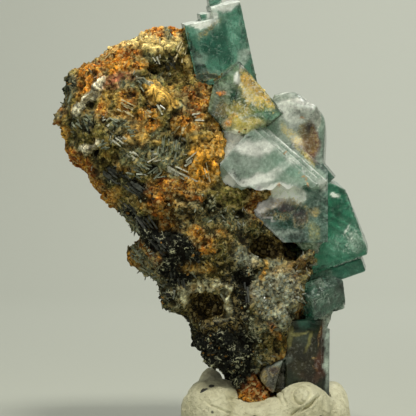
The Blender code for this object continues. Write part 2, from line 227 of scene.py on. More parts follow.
STONE_COLOURS = {
    "olive": (0.088, 0.082, 0.022), "ochre": (0.60, 0.34, 0.07), "straw": (0.84, 0.66, 0.26),
    "orange": (0.64, 0.21, 0.02), "rust": (0.20, 0.055, 0.010), "brick": (0.36, 0.13, 0.065),
    "black": (0.008, 0.009, 0.006), "slate": (0.125, 0.145, 0.088), "quartz": (0.42, 0.46, 0.34),
    "pale": (0.50, 0.49, 0.33), "crust": (0.62, 0.61, 0.40), "amber": (0.82, 0.36, 0.035),
    "ember": (0.27, 0.060, 0.008), "moss": (0.13, 0.12, 0.03), "umber": (0.035, 0.024, 0.008),
    "forest": (0.028, 0.033, 0.009), "loam": (0.86, 0.52, 0.11), "chalk": (0.86, 0.80, 0.58),
}
# How broken up each kind is by what lies under it: 0 is an even cover, 1 a few scattered spots.
STONE_BREAKS = {
    "olive": 0.3, "ochre": 0.55, "straw": 0.45, "orange": 0.8, "rust": 0.45, "brick": 0.2, "black": 0.25,
    "slate": 0.45, "quartz": 0.25, "pale": 0.6, "crust": 0.8, "amber": 0.4, "ember": 0.3, "moss": 0.15,
    "umber": 0.05, "forest": 0.3, "loam": 0.05, "chalk": 0.1,
}
# Where each colour lies on the show side: kind, x and z of its middle, half width, half height, turn in
# degrees and strength.
STONE_PATCHES = [
    ("straw", -22.4, 59.6, 4.4, 1.7, 27, 0.8), ("straw", -16.6, 60.2, 4.6, 1.6, 12, 0.8),
    ("orange", -15.2, 61.7, 3.8, 1.0, 6, 1.0), ("orange", -24.4, 57.0, 4.2, 1.0, 34, 0.7),
    ("slate", -14.9, 60.9, 0.65, 0.75, 0, 1.4), ("orange", -21.4, 56.4, 2.6, 1.9, 20, 1.0),
    ("orange", -26.7, 53.9, 2.4, 2.2, 30, 0.9), ("brick", -22.7, 53.8, 2.8, 1.4, 12, 1.1),
    ("black", -15.7, 56.3, 2.6, 1.7, 0, 0.75), ("olive", -12.8, 55.4, 2.2, 3.2, 0, 0.9),
    ("straw", -12.2, 58.6, 0.7, 2.6, 8, 0.7), ("loam", -16.2, 51.6, 2.5, 1.0, -48, 1.9),
    ("loam", -14.0, 50.0, 0.9, 0.6, -20, 1.4), ("black", -17.4, 49.9, 0.7, 1.2, 10, 1.3),
    ("ochre", -24.0, 51.0, 2.0, 1.2, 45, 0.9), ("chalk", -24.8, 52.9, 1.4, 0.42, 68, 1.8),
    ("chalk", -26.1, 51.2, 1.5, 0.40, 48, 1.8), ("chalk", -27.8, 49.6, 1.6, 0.36, 40, 1.7),
    ("olive", -23.6, 51.4, 2.0, 1.4, 40, 0.7), ("rust", -20.6, 50.6, 1.4, 1.5, 0, 0.9),
    ("orange", -25.0, 49.4, 1.4, 1.2, 20, 0.7), ("black", -27.8, 47.4, 1.9, 1.1, -30, 0.9),
    ("slate", -26.6, 48.4, 2.2, 1.5, 0, 0.6), ("slate", -30.0, 52.2, 1.2, 2.6, 0, 0.9),
    ("black", -29.8, 53.4, 0.9, 1.0, 0, 0.9), ("slate", -21.4, 46.4, 2.6, 2.0, -20, 1.1),
    ("slate", -19.0, 43.4, 3.6, 1.0, -25, 1.1), ("slate", -15.4, 40.9, 2.6, 0.9, -30, 1.1),
    ("black", -16.4, 39.6, 2.2, 0.7, -30, 0.9), ("slate", -20.6, 53.0, 1.2, 0.8, -30, 1.0),
    ("slate", -16.4, 45.8, 1.4, 0.8, 40, 0.9), ("orange", -17.6, 47.8, 1.6, 1.6, 0, 0.8),
    ("ochre", -19.6, 45.4, 1.6, 1.8, 0, 0.7), ("rust", -10.6, 51.0, 2.0, 1.8, 0, 0.9),
    ("orange", -11.6, 47.6, 2.4, 1.5, 0, 0.9), ("amber", -9.3, 41.8, 2.2, 3.6, 0, 1.0),
    ("amber", -12.4, 46.6, 1.6, 1.6, 0, 0.6), ("ochre", -8.8, 44.2, 1.8, 1.4, 0, 0.8),
    ("olive", -10.4, 45.2, 1.6, 1.4, 0, 0.6), ("slate", -13.5, 43.6, 1.5, 2.4, 0, 0.9),
    ("slate", -19.8, 41.6, 2.4, 1.2, 0, 0.7), ("chalk", -26.2, 43.8, 1.5, 0.4, 20, 0.9),
    ("black", -26.0, 42.6, 1.1, 0.75, 0, 1.5), ("rust", -28.4, 41.9, 1.1, 3.4, 38, 1.3),
    ("black", -22.6, 39.6, 2.0, 1.3, -20, 1.0), ("olive", -24.2, 40.8, 1.6, 1.4, 0, 0.6),
    ("black", -18.6, 37.4, 3.2, 0.9, -40, 1.1), ("umber", -15.2, 37.3, 2.8, 0.7, -6, 0.8),
    ("rust", -14.7, 37.8, 3.6, 1.2, -6, 1.1), ("forest", -4.6, 37.0, 3.4, 1.6, -10, 0.8),
    ("olive", -20.6, 35.6, 2.4, 1.2, -40, 0.8), ("orange", -15.6, 34.6, 2.9, 1.2, -50, 0.9),
    ("rust", -14.0, 33.0, 2.2, 1.6, -40, 0.7), ("forest", -8.6, 33.6, 6.4, 3.4, -30, 0.9),
    ("forest", -7.6, 27.6, 4.6, 3.0, -20, 0.75), ("slate", -11.0, 34.0, 2.2, 3.0, 0, 0.5),
    ("moss", -5.8, 36.2, 3.0, 1.6, 0, 1.4), ("forest", -3.4, 31.6, 3.6, 2.0, -30, 1.0),
    ("forest", -14.4, 33.6, 2.6, 1.2, -40, 0.7), ("slate", -7.6, 31.6, 1.6, 0.8, -20, 0.8),
    ("orange", -7.0, 31.2, 1.2, 0.7, 0, 0.9), ("orange", -10.6, 31.8, 1.2, 0.9, 0, 0.9),
    ("orange", -11.4, 36.4, 1.4, 0.5, -10, 0.9), ("slate", -5.6, 33.4, 2.6, 1.6, 0, 1.1),
    ("black", -8.6, 35.0, 0.9, 1.8, 20, 0.7), ("olive", -8.4, 30.2, 2.8, 2.2, 0, 0.8),
    ("orange", -9.4, 29.6, 1.8, 1.4, 0, 0.6), ("black", -18.8, 32.0, 1.2, 4.4, 42, 1.5),
    ("black", -14.6, 29.6, 4.6, 1.9, -25, 1.6), ("black", -13.6, 24.6, 2.6, 4.0, 0, 1.6),
    ("slate", -18.0, 26.4, 1.1, 4.6, 38, 1.4), ("slate", -20.2, 32.4, 0.9, 2.6, 40, 1.4),
    ("ochre", -10.4, 26.2, 2.2, 0.8, 0, 0.7), ("pale", -12.6, 22.6, 1.3, 0.5, 30, 0.7),
    ("crust", -5.6, 21.6, 1.4, 2.8, 10, 1.5), ("crust", -9.6, 23.3, 3.2, 0.8, 12, 1.4),
    # Painted shade: the umber in the vug at x -9.4 z 20.2 stands for the shade in its hollow.
    ("crust", -12.3, 21.4, 0.8, 2.0, 20, 1.2), ("umber", -9.4, 20.2, 2.6, 1.9, 0, 1.8),
    ("crust", -6.8, 17.7, 3.4, 0.5, 22, 1.9), ("chalk", -7.4, 17.6, 2.2, 0.24, 22, 1.0),
    ("crust", -4.9, 18.4, 1.4, 1.4, 0, 1.5), ("black", -3.8, 21.4, 1.35, 4.8, -4, 1.9),
    ("black", -4.6, 24.4, 2.0, 1.1, 0, 1.4), ("black", -6.4, 13.7, 4.7, 4.2, -20, 1.9),
    ("black", -4.4, 9.8, 3.6, 2.2, -30, 1.8), ("quartz", 1.4, 22.6, 3.4, 4.4, 0, 1.0),
    ("quartz", -3.6, 28.0, 2.0, 1.5, 0, 0.9), ("quartz", 2.2, 17.6, 2.4, 1.6, 0, 0.8),
    # Painted shade: the umber across the double vug at x 1.4 z 29.0 stands for the shade in its hollows.
    ("umber", 1.4, 29.0, 4.6, 1.6, -3, 1.8), ("ochre", -0.8, 25.2, 0.5, 1.6, 5, 1.2),
    ("ochre", 2.6, 25.8, 2.6, 0.7, 10, 0.6), ("rust", 6.3, 28.2, 0.4, 1.4, 0, 1.0),
    ("slate", 5.6, 26.4, 1.4, 2.2, 0, 0.8), ("olive", 1.4, 14.8, 3.2, 1.8, 20, 0.9),
    ("slate", -1.4, 16.4, 1.4, 1.2, 0, 0.8), ("orange", 0.9, 16.2, 1.6, 0.5, -50, 0.9),
    ("slate", -0.6, 11.6, 1.6, 1.6, 0, 1.0), ("rust", -1.2, 7.6, 2.6, 1.7, 10, 1.3),
    ("ember", -1.4, 8.3, 2.0, 1.3, 10, 1.5),
]
# Where the show side stands out from the lump or falls back: millimetres, then x, z, half sizes and turn.
STONE_RELIEF = [
    (1.1, -24.8, 53.0, 1.5, 0.4, 70), (1.1, -26.1, 51.4, 1.6, 0.4, 48), (0.9, -27.8, 49.8, 1.6, 0.4, 40),
    (-0.6, -24.6, 50.4, 2.6, 0.9, 47), (1.0, -16.2, 51.6, 2.4, 0.9, -48), (-1.0, -18.6, 52.6, 0.5, 1.6, 20),
    (-1.6, -17.5, 49.9, 0.8, 1.3, 10), (0.5, -14.9, 60.9, 0.8, 0.8, 0), (-1.0, -15.4, 56.2, 2.4, 1.7, 0),
    (0.6, -14.2, 47.6, 4.0, 1.0, -20), (-1.3, -26.0, 42.6, 1.0, 0.7, 0), (0.6, -26.1, 43.8, 1.5, 0.4, 20),
    (0.7, -18.6, 37.4, 3.4, 0.6, -40), (-0.9, -20.4, 38.6, 2.4, 0.5, -40), (0.5, -14.7, 37.8, 3.4, 1.0, -6),
    (-0.7, -13.6, 36.0, 3.6, 0.5, -10), (0.6, -5.8, 36.0, 2.8, 1.9, 0), (-1.0, -9.0, 34.6, 0.8, 1.6, 20),
    (-2.4, -9.2, 20.4, 2.3, 1.6, 0), (0.6, -5.6, 20.8, 1.0, 2.6, 0), (0.5, -6.4, 17.9, 3.0, 0.5, 22),
    (0.7, -3.0, 21.4, 0.9, 4.6, -4), (-2.0, -0.4, 29.0, 1.9, 1.3, 0), (-2.2, 4.0, 29.0, 1.8, 1.4, 0),
    (0.6, 1.9, 29.0, 0.4, 1.8, 0), (0.5, 5.9, 27.6, 0.4, 1.6, -30), (-0.6, -12.6, 44.6, 0.8, 2.2, 0),
    (0.5, -13.6, 28.8, 2.6, 1.4, -25), (-0.8, -16.2, 28.6, 1.6, 0.6, -50),
]

def merged_copy(name, node):
    """A free copy of a CAD node with its corners merged."""
    shape = bmesh.new()
    shape.from_mesh(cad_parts[node].data)
    bmesh.ops.remove_doubles(shape, verts=shape.verts, dist=1e-7)
    return shape_object(name, shape)


def modified(thing, kind, **settings):
    """Adds a modifier with its settings."""
    made = thing.modifiers.new(kind.lower(), kind)
    for name, value in settings.items():
        setattr(made, name, value)
    return made


def settled(thing):
    """Puts what the modifiers make in the object's own mesh and removes them."""
    bpy.context.view_layer.update()
    graph = bpy.context.evaluated_depsgraph_get()
    mesh = bpy.data.meshes.new_from_object(thing.evaluated_get(graph))
    before = thing.data
    thing.modifiers.clear()
    thing.data = mesh
    mesh.name = thing.name
    bpy.data.meshes.remove(before)
    return thing


def corners(mesh):
    """A mesh's vertices and their normals, as arrays in millimetres."""
    place = np.empty(len(mesh.vertices) * 3)
    facing = np.empty(len(mesh.vertices) * 3)
    mesh.vertices.foreach_get("co", place)
    mesh.vertex_normals.foreach_get("vector", facing)
    return place.reshape(-1, 3) / MM, facing.reshape(-1, 3)


def put(mesh, places):
    """Moves a mesh's vertices to places in millimetres."""
    mesh.vertices.foreach_set("co", (places * MM).ravel())
    mesh.update()


# Vector noise starts at a random place unless it is given a seed.
noise.seed_set(WANDER_SEED)


def wavering(points, size, reach):
    """The points, each shifted by smooth noise with features of that size."""
    shifts = [noise.noise_vector(Vector(point) / size) for point in points]
    return points + reach * np.array(shifts)


def noise_field(points, size, seed):
    """Smooth noise from about -1 to 1 with features of that size."""
    shift = Vector((seed * 17.3, seed * 5.1, seed * 9.7))
    return np.array([noise.noise(Vector(point) / size + shift) for point in points])


def smooth(values, low, high):
    """0 below low, 1 above high, and a soft step between them."""
    part = np.clip((values - low) / (high - low), 0, 1)
    return part * part * (3 - 2 * part)


def patch_cover(points, patch, softness=0.35):
    """How far each point lies in a patch, from 0 to the patch's strength, which is 1 if it isn't given."""
    x, z, half_width, half_height, turn, strength = (*patch, 1.0)[:6]
    angle = math.radians(turn)
    across = points[:, 0] - x
    up = points[:, 2] - z
    along = (across * math.cos(angle) + up * math.sin(angle)) / half_width
    aside = (up * math.cos(angle) - across * math.sin(angle)) / half_height
    return strength * (1 - smooth(np.hypot(along, aside), 1 - softness, 1 + softness))


def blended(base, other, share):
    """Colours that give way to another by that share."""
    return base * (1 - share[:, None]) + np.asarray(other) * share[:, None]


def keep_values(mesh, **layers):
    """Stores numbers, or colours, for each vertex under their names."""
    for name, values in layers.items():
        if values.ndim == 1:
            layer = mesh.attributes.new(name, "FLOAT", "POINT")
            layer.data.foreach_set("value", values.astype(np.float32))
        else:
            layer = mesh.attributes.new(name, "FLOAT_COLOR", "POINT")
            full = np.ones((len(values), 4), dtype=np.float32)
            full[:, :3] = values
            layer.data.foreach_set("color", full.ravel())


rock = merged_copy("rock", "matrix_rock")
modified(rock, "REMESH", mode="VOXEL", voxel_size=ROCK_GRAIN * MM)
settled(rock)

# The colours: broad bands of olive, ochre and rust all round, then the patches of the show side.
places, facings = corners(rock.data)
deep = smooth(places[:, 1], -2.0, 7.0)
sway = deep * noise_field(places, 9.0, 1)
wandering = wavering(wavering(places, 5.0, 0.9), 1.4, 0.6)
wandering[:, 0] += 6.0 * sway
wandering[:, 2] += 7.0 * deep * noise_field(places, 9.0, 2)
steady = wavering(places, 1.4, 0.45)
steady[:, ::2] += 6.0 * sway[:, None]
broad = noise_field(places, 6.5, 3)
middling = noise_field(places, 2.6, 4)
colour = np.tile(STONE_COLOURS["olive"], (len(places), 1))
covers = {kind: np.zeros(len(places)) for kind in STONE_COLOURS}


def laid(base, kind, cover):
    """The colour after that kind covers part of it."""
    cover = np.clip(cover, 0, 1)
    for other in covers:
        covers[other] *= 1 - cover
    covers[kind] += cover
    return blended(base, STONE_COLOURS[kind], cover)


def part_of(**shares):
    """How much of each place some kinds cover, each counted by its share."""
    return sum(share * covers[kind] for kind, share in shares.items())


low_left = smooth(-places[:, 2] + 0.5 * places[:, 0], -32, -18)
colour = laid(colour, "rust", 0.7 * smooth(broad, 0.05, 0.45))
colour = laid(colour, "ochre", 0.75 * smooth(middling - 0.6 * low_left, 0.12, 0.42))
colour = laid(colour, "slate", 0.8 * smooth(-middling + 0.3 * low_left, 0.15, 0.5))
colour = laid(colour, "black", 0.85 * low_left * smooth(-broad, -0.25, 0.2))
bare = np.zeros(len(places))
speckled = smooth(noise_field(places, 0.95, 5) + 0.6 * noise_field(places, 0.5, 8), -0.22, 0.14)
for kind, *patch in STONE_PATCHES:
    broken = STONE_BREAKS[kind]
    cover = patch_cover(steady if kind in BARE_KINDS else wandering, patch)
    colour = laid(colour, kind, cover * (1 - broken + broken * speckled))
    if kind in BARE_KINDS:
        x, z, wide, tall, turn, _ = patch
        bare = np.maximum(bare, patch_cover(steady, (x, z, wide + BARE_RIM, tall + BARE_RIM, turn)))
colour = colour * (1 - LOW_SHADE * smooth(-places[:, 2], -42, -30)[:, None])
hard = part_of(chalk=1, quartz=1, moss=1, black=0.5, brick=0.7, umber=1, loam=1)
crumbly = part_of(orange=1, ochre=0.7, rust=0.7, straw=0.8, olive=0.5)
rusted = 0.2 + part_of(quartz=0.15, orange=1, rust=0.7, ochre=0.5, olive=0.15) - 0.5 * hard
keep_values(
    rock.data,
    stone_colour=colour,
    porous=np.clip(1 - 0.8 * hard, 0.1, 1),
    dark_plates=np.clip(part_of(black=1, forest=0.35), 0, 1) * (1 - 0.8 * bare),
    rusty=np.clip(crumbly, 0, 1) * (1 - 0.9 * bare),
    quartzy=np.clip(part_of(quartz=1, pale=0.4), 0, 1),
    slaty=np.clip(covers["slate"], 0, 1),
    rust_net=np.clip(rusted, 0, 1),
)
heights = np.zeros(len(places))
for height, *patch in STONE_RELIEF:
    heights += height * patch_cover(steady, patch, 0.45) * (1 - smooth(places[:, 1], -3.0, 5.0))
put(rock.data, places + facings * heights[:, None])

# Its roughness: a boxwork of walls between leached cells, finer pores inside them, lumps, and dark plates.


def mesh_tree(name, **inputs):
    """A tree that reshapes a mesh, and its inputs as values: a name and a kind for each."""
    tree = bpy.data.node_groups.new(name, "GeometryNodeTree")
    tree.is_modifier = True
    for label, kind in {"Geometry": "Geometry", **inputs}.items():
        tree.interface.new_socket(label, in_out="INPUT", socket_type=f"NodeSocket{kind}")
    tree.interface.new_socket("Geometry", in_out="OUTPUT", socket_type="NodeSocketGeometry")
    given = tree.nodes.new("NodeGroupInput").outputs
    return tree, {socket.name: Value(tree, socket) for socket in given if socket.name}


def kept(tree, name):
    """A number that the mesh keeps for each vertex."""
    return step(tree, "GeometryNodeInputNamedAttribute", {"Name": name}, data_type="FLOAT")


def vectors(operation, first, second):
    """One vector node on two vectors."""
    tree = shared_tree(first, second)
    return step(tree, "ShaderNodeVectorMath", {0: first, 1: second}, operation=operation)


def scaled(vector, amount):
    """A vector or colour times a number."""
    tree = shared_tree(vector, amount)
    return step(tree, "ShaderNodeVectorMath", {0: vector, "Scale": amount}, operation="SCALE")


weather, given = mesh_tree("weathered_stone", **dict.fromkeys(ROUGHNESS, "Float"))
where = step(weather, "GeometryNodeInputPosition")
bend = step(weather, "ShaderNodeTexNoise", {"Vector": where, "Scale": 420.0, "Detail": 2.0}, "Color")
bent = vectors("ADD", where, scaled(vectors("SUBTRACT", bend, (0.5, 0.5, 0.5)), 2.2 * MM))


def cell_wall(size, width):
    """1 on the walls between cells of that size, falling to 0 inside them."""
    cells = {"Vector": bent, "Scale": 1.0 / size}
    away = step(weather, "ShaderNodeTexVoronoi", cells, "Distance", feature="DISTANCE_TO_EDGE")
    return 1.0 - maths("DIVIDE", away, width, clamp=True)


rise = (cell_wall(given["Cell"], 0.34) - 0.42) * given["Cell depth"]
rise = (rise + (cell_wall(given["Pore"], 0.36) - 0.45) * given["Pore depth"]) * kept(weather, "porous")
lumps = step(weather, "ShaderNodeTexNoise", {"Vector": where, "Scale": 1.0 / given["Lump"], "Detail": 3.0})
rise = rise + (lumps - 0.62) * given["Lump height"]
lean = {"Vector": bent, "Axis": (0.0, 1.0, 0.0), "Angle": given["Blade lean"]}
leaned = step(weather, "ShaderNodeVectorRotate", lean, rotation_type="AXIS_ANGLE")
leaned = vectors("MULTIPLY", leaned, (0.28, 0.8, 1.25))
plates = step(weather, "ShaderNodeTexVoronoi", {"Vector": leaned, "Scale": 1.0 / given["Blade"]}, "Color")
plates = step(weather, "ShaderNodeSeparateXYZ", {0: plates}) - 0.5
rise = rise + plates * given["Blade depth"] * kept(weather, "dark_plates")
push = scaled(step(weather, "GeometryNodeInputNormal"), rise)
marked = {"Geometry": given["Geometry"], "Name": "raised", "Value": rise}
marked = step(weather, "GeometryNodeStoreNamedAttribute", marked, data_type="FLOAT", domain="POINT")
moved = step(weather, "GeometryNodeSetPosition", {"Geometry": marked, "Offset": push})
step(weather, "NodeGroupOutput", {"Geometry": moved})


def run_tree(thing, tree, values):
    """Runs a tree on an object, with its named inputs set, and keeps the plain mesh that it makes."""
    run = modified(thing, "NODES", node_group=tree)
    for socket in tree.interface.items_tree:
        if socket.in_out == "INPUT" and socket.name in values:
            run[socket.identifier] = values[socket.name]
    return settled(thing)


run_tree(rock, weather, ROUGHNESS)


def search_tree(thing):
    """A search tree over an object's faces, in millimetres."""
    mesh = thing.data
    return BVHTree.FromPolygons([v.co / MM for v in mesh.vertices], [f.vertices for f in mesh.polygons])


# Where the rock meets the fluorite and the putty it grows into them, so that no gap shows.
neighbours = [search_tree(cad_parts[node]) for node in ("fluorite_crystals", "putty_base")]
places, facings = corners(rock.data)
grown_places = places.copy()
for index, place in enumerate(places):
    for search in neighbours:
        spot, _, _, away = search.find_nearest(Vector(place), 1.3)
        if spot is not None:
            toward = (spot - Vector(place)).normalized()
            reach = GROWN_REACH * (1 - max(0.0, away - 0.45) / 0.85)
            if toward.dot(Vector(facings[index])) > 0.2:
                grown_places[index] = place + np.array(toward * min(reach, away + 0.12))
past = np.maximum(FRONT_LIMIT - grown_places[:, 1], 0)
grown_places[:, 1] += past - FRONT_SLACK * np.tanh(past / FRONT_SLACK)
put(rock.data, grown_places)


def attribute(tree, name, output="Fac"):
    """What the mesh keeps under that name, in a material."""
    return step(tree, "ShaderNodeAttribute", output=output, attribute_name=name)


def between(value, low, high, to_low=0.0, to_high=1.0):
    """Maps a value from one range to another, held at its ends."""
    inputs = {"Value": value, "From Min": low, "From Max": high, "To Min": to_low, "To Max": to_high}
    return step(value.tree, "ShaderNodeMapRange", inputs, clamp=True)


def mixed(share, first, second):
    """Two colours mixed."""
    tree = shared_tree(share, first, second)
    return step(tree, "ShaderNodeMix", {0: share, 6: first, 7: second}, 2, data_type="RGBA")


def netted(colour, spot):
    """The colour with a fine broken network of rust over it, where there is some."""
    amount = attribute(spot.tree, "rust_net")
    thread = amount * 0.085 - abs(texture(spot, 0.75, distortion=0.8) - 0.5)
    share = between(thread, 0.0, 0.03) * between(amount, 0.0, 0.7, 0.2, 0.8)
    yellowed = between(texture(spot, 0.5, 3.0), 0.44, 0.58)
    rust = mixed(yellowed, (0.64, 0.25, 0.02), (0.66, 0.40, 0.06))
    reddened = between(texture(spot, 1.6, 3.0), 0.44, 0.56)
    return mixed(share, colour, mixed(reddened, (0.20, 0.055, 0.008), rust))


def dress(piece, finish_of_it):
    """Gives a piece its one material and smooth shading."""
    piece.data.materials.clear()
    piece.data.materials.append(finish_of_it)
    piece.data.shade_smooth()


stone, shader, spot = material("weathered_iron_stone")
dark_plates = attribute(spot.tree, "dark_plates")
grit = texture(spot, 0.55, 5.0, 0.7)
cloud = texture(spot, 1.7, 4.0, 0.65)
lightness = between(grit, 0.32, 0.68, 0.12, 2.1) * between(cloud, 0.32, 0.68, 0.5, 1.5)
bright = scaled(attribute(spot.tree, "stone_colour", "Color"), lightness)
net = abs(texture(spot, 0.9, distortion=0.6) - 0.5)
bright = mixed(between(net, 0.012, 0.04, 1.0, 0.0) * (1.0 - dark_plates) * 0.3, bright, (0.60, 0.42, 0.10))
glint = between(texture(spot, 0.4, 2.0, 0.5), 0.66, 0.72)
bright = mixed(glint * 0.55, netted(bright, spot), (0.60, 0.57, 0.33))
grains = step(spot.tree, "ShaderNodeTexVoronoi", {"Vector": spot, "Scale": 2500.0}, "Color")
grains = step(spot.tree, "ShaderNodeSeparateXYZ", {0: grains})
bright = scaled(bright, between(grains, 0.05, 0.95, 0.35, 1.75))
straw = between(grains.beside("Y"), 0.82, 0.86, 0.0, 0.45) * (1.0 - dark_plates)
bright = mixed(straw, bright, (0.70, 0.54, 0.22))
crust = between(net, 0.015, 0.045, 1.0, 0.0) * between(cloud, 0.52, 0.58) * dark_plates * 0.9
bright = mixed(crust, bright, (0.66, 0.66, 0.43))
# Painted shade: the colour falls to near black where the stone tree sank the surface, in its pores and cells.
painted_cavity_shade = between(attribute(spot.tree, "raised"), -0.60 * MM, 0.15 * MM, 0.92, 0.0)
finish(
    shader, mixed(painted_cavity_shade, bright, (0.008, 0.006, 0.003)), between(grit, 0.3, 0.7, 0.95, 0.6),
    grit + texture(spot, 0.22, 4.0, 0.7) * 0.5, 0.9, 0.22, Specular_IOR_Level=0.12,
)
dress(rock, stone)
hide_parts("matrix_rock")
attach(rock, "root")

# Crumbs on the rock
# Loose-looking grains of limonite and black iron oxide that cover the rusty and the black parts of the rock.
# Each is an angular grain a fraction of a millimetre across, grown fast to the rock.

CRUMBS = {
    "limonite_crumbs": dict(
        Where="rusty", Density=2.2e6, Smallest=0.2, Largest=0.66, Long=1.0, Wide=1.0, Seed=2,
    ),
    "dark_crumbs": dict(
        Where="dark_plates", Density=1.9e6, Smallest=0.2, Largest=0.7, Long=0.7, Wide=1.1, Seed=5,
    ),
}

scatter, asked = mesh_tree(
    "grains_on_stone", Where="String", Density="Float", Smallest="Float", Largest="Float", Long="Float",
    Wide="Float", Tilt="Float", Seed="Int", Grain="Object", Material="Material",
)


def luck_of(low, high, seed):
    """A random number or triple for each grain."""
    first, output, kind = (0, 0, "FLOAT_VECTOR") if isinstance(low, tuple) else (2, 1, "FLOAT")
    inputs = {first: low, first + 1: high, "Seed": seed}
    return step(scatter, "FunctionNodeRandomValue", inputs, output, data_type=kind)


wanted = maths("POWER", kept(scatter, asked["Where"]), 1.5) * asked["Density"]
points = {"Mesh": asked["Geometry"], "Density": wanted, "Seed": asked["Seed"]}
points = step(scatter, "GeometryNodeDistributePointsOnFaces", points, "Points", distribute_method="RANDOM")
spin = scaled(luck_of((-1.0, -1.0, -1.0), (1.0, 1.0, 1.0), 3), asked["Tilt"])
spin = {"Rotation": points.beside("Rotation"), "Rotate By": spin}
leaning = step(scatter, "FunctionNodeRotateRotation", spin, rotation_space="LOCAL")
form = {"X": asked["Wide"], "Y": asked["Wide"], "Z": asked["Long"]}
form = step(scatter, "ShaderNodeCombineXYZ", form)
form = vectors("MULTIPLY", luck_of((0.6, 0.6, 0.6), (1.35, 1.35, 1.35), 17), form)
form = scaled(form, luck_of(asked["Smallest"], asked["Largest"], 11))
grain = step(scatter, "GeometryNodeObjectInfo", {"Object": asked["Grain"]}, "Geometry")
placed = {"Points": points, "Instance": grain, "Rotation": leaning, "Scale": form}
placed = step(scatter, "GeometryNodeInstanceOnPoints", placed)
marked = {"Geometry": placed, "Name": "luck", "Value": luck_of(0.0, 1.0, 23)}
marked = step(scatter, "GeometryNodeStoreNamedAttribute", marked, data_type="FLOAT", domain="INSTANCE")
real = step(scatter, "GeometryNodeRealizeInstances", {"Geometry": marked})
painted = step(scatter, "GeometryNodeSetMaterial", {"Geometry": real, "Material": asked["Material"]})
step(scatter, "NodeGroupOutput", {"Geometry": painted})


def grain_shape(name, shape, seed, roughness):
    """A small angular grain, about 1 across, to be scattered."""
    rng = np.random.default_rng(seed)
    for corner in shape.verts:
        corner.co *= 1 + roughness * rng.uniform(-1, 1)
    bmesh.ops.recalc_face_normals(shape, faces=shape.faces)
    made = shape_object(name, shape)
    made.hide_render = True
    return made


def scattered(name, stuff, grain_object, ground=rock, slot="matrix_rock", Tilt=3.1, **values):
    """Grains over a piece as one plain mesh of their own. Smallest and Largest are in millimetres."""
    made = in_scene(name, ground.data.copy())
    for size in ("Smallest", "Largest"):
        values[size] *= MM
    run_tree(made, scatter, {**values, "Tilt": Tilt, "Grain": grain_object, "Material": stuff})
    made.data.validate()
    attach(made, "root")


angular = bmesh.new()
bmesh.ops.create_icosphere(angular, subdivisions=1, radius=0.5)
angular_grain = grain_shape("angular_grain", angular, 5, 0.3)

crumb_stone, shader, spot = material("crumbled_iron_stone")
luck = attribute(spot.tree, "luck")
speckle = between(texture(spot, 0.35, 3.0), 0.3, 0.7, 0.6, 1.4)
lit = scaled(attribute(spot.tree, "stone_colour", "Color"), between(luck, 0, 1, 0.15, 2.3) * speckle)
lit = mixed(between(luck, 0.88, 0.92) * 0.4, lit, (0.50, 0.40, 0.16))
rough = between(speckle, 0.6, 1.4, 0.9, 0.55)
finish(shader, netted(lit, spot), rough, texture(spot, 0.2, 3.0), Specular_IOR_Level=0.15)

dark_crumb, shader, spot = material("black_oxide_crumbs")
luck = attribute(spot.tree, "luck")
net = abs(texture(spot, 1.5, 3.0, distortion=0.6) - 0.5)
pale_grain = between(net, 0.02, 0.05, 1.0, 0.0) * between(texture(spot, 3.2, 3.0), 0.51, 0.58)
speckle = between(texture(spot, 0.3, 3.0), 0.35, 0.65, 0.55, 1.4)
dark = mixed(between(luck, 0.0, 0.5), (0.005, 0.006, 0.004), (0.017, 0.019, 0.011))
dark = mixed(pale_grain * 0.75, dark, (0.56, 0.56, 0.34))
dark = mixed(between(luck, 0.955, 0.96, 0.0, 0.8), dark, (0.34, 0.17, 0.03))
rough = between(speckle, 0.55, 1.4, 0.75, 0.35)
finish(shader, scaled(dark, speckle), rough, texture(spot, 0.2, 3.0), Specular_IOR_Level=0.2)

for stuff, (name, values) in zip((crumb_stone, dark_crumb), CRUMBS.items()):
    scattered(name, stuff, angular_grain, **values)

# Quartz grains and needles
# Clear to grey quartz: stubby glassy grains in the grey patch, and bundles of long flat needles
# that lie across the rock in a few places. They are grown fast to the rock.

QUARTZ_IOR = 1.54

pointed = bmesh.new()
bmesh.ops.create_cone(pointed, cap_ends=True, segments=6, radius1=0.5, radius2=0.5, depth=1.0)
for corner in pointed.verts:
    if corner.co.z > 0:
        corner.co.x *= 0.35
        corner.co.y *= 0.35
pointed_grain = grain_shape("pointed_grain", pointed, 8, 0.08)

glassy, shader, spot = material("glassy_quartz")
milky = mixed(between(attribute(spot.tree, "luck"), 0.3, 0.9), (0.24, 0.27, 0.19), (0.66, 0.69, 0.56))
milky = mixed(between(texture(spot, 1.1, 3.0), 0.52, 0.62) * 0.45, milky, (0.50, 0.34, 0.07))
milky = mixed(0.35, milky, attribute(spot.tree, "stone_colour", "Color"))
rough = between(texture(spot, 0.5, 3.0), 0.3, 0.7, 0.12, 0.5)
finish(shader, netted(milky, spot), rough, Transmission_Weight=0.35, IOR=QUARTZ_IOR)

scattered(
    "quartz_grains", glassy, angular_grain, Where="quartzy", Density=2.4e6, Smallest=0.22, Largest=0.7,
    Long=1.0, Wide=1.0, Seed=7,
)
scattered(
    "slate_needles", glassy, pointed_grain, Where="slaty", Density=0.8e6, Smallest=0.35, Largest=0.9,
    Long=1.5, Wide=0.55, Tilt=1.0, Seed=9,
)

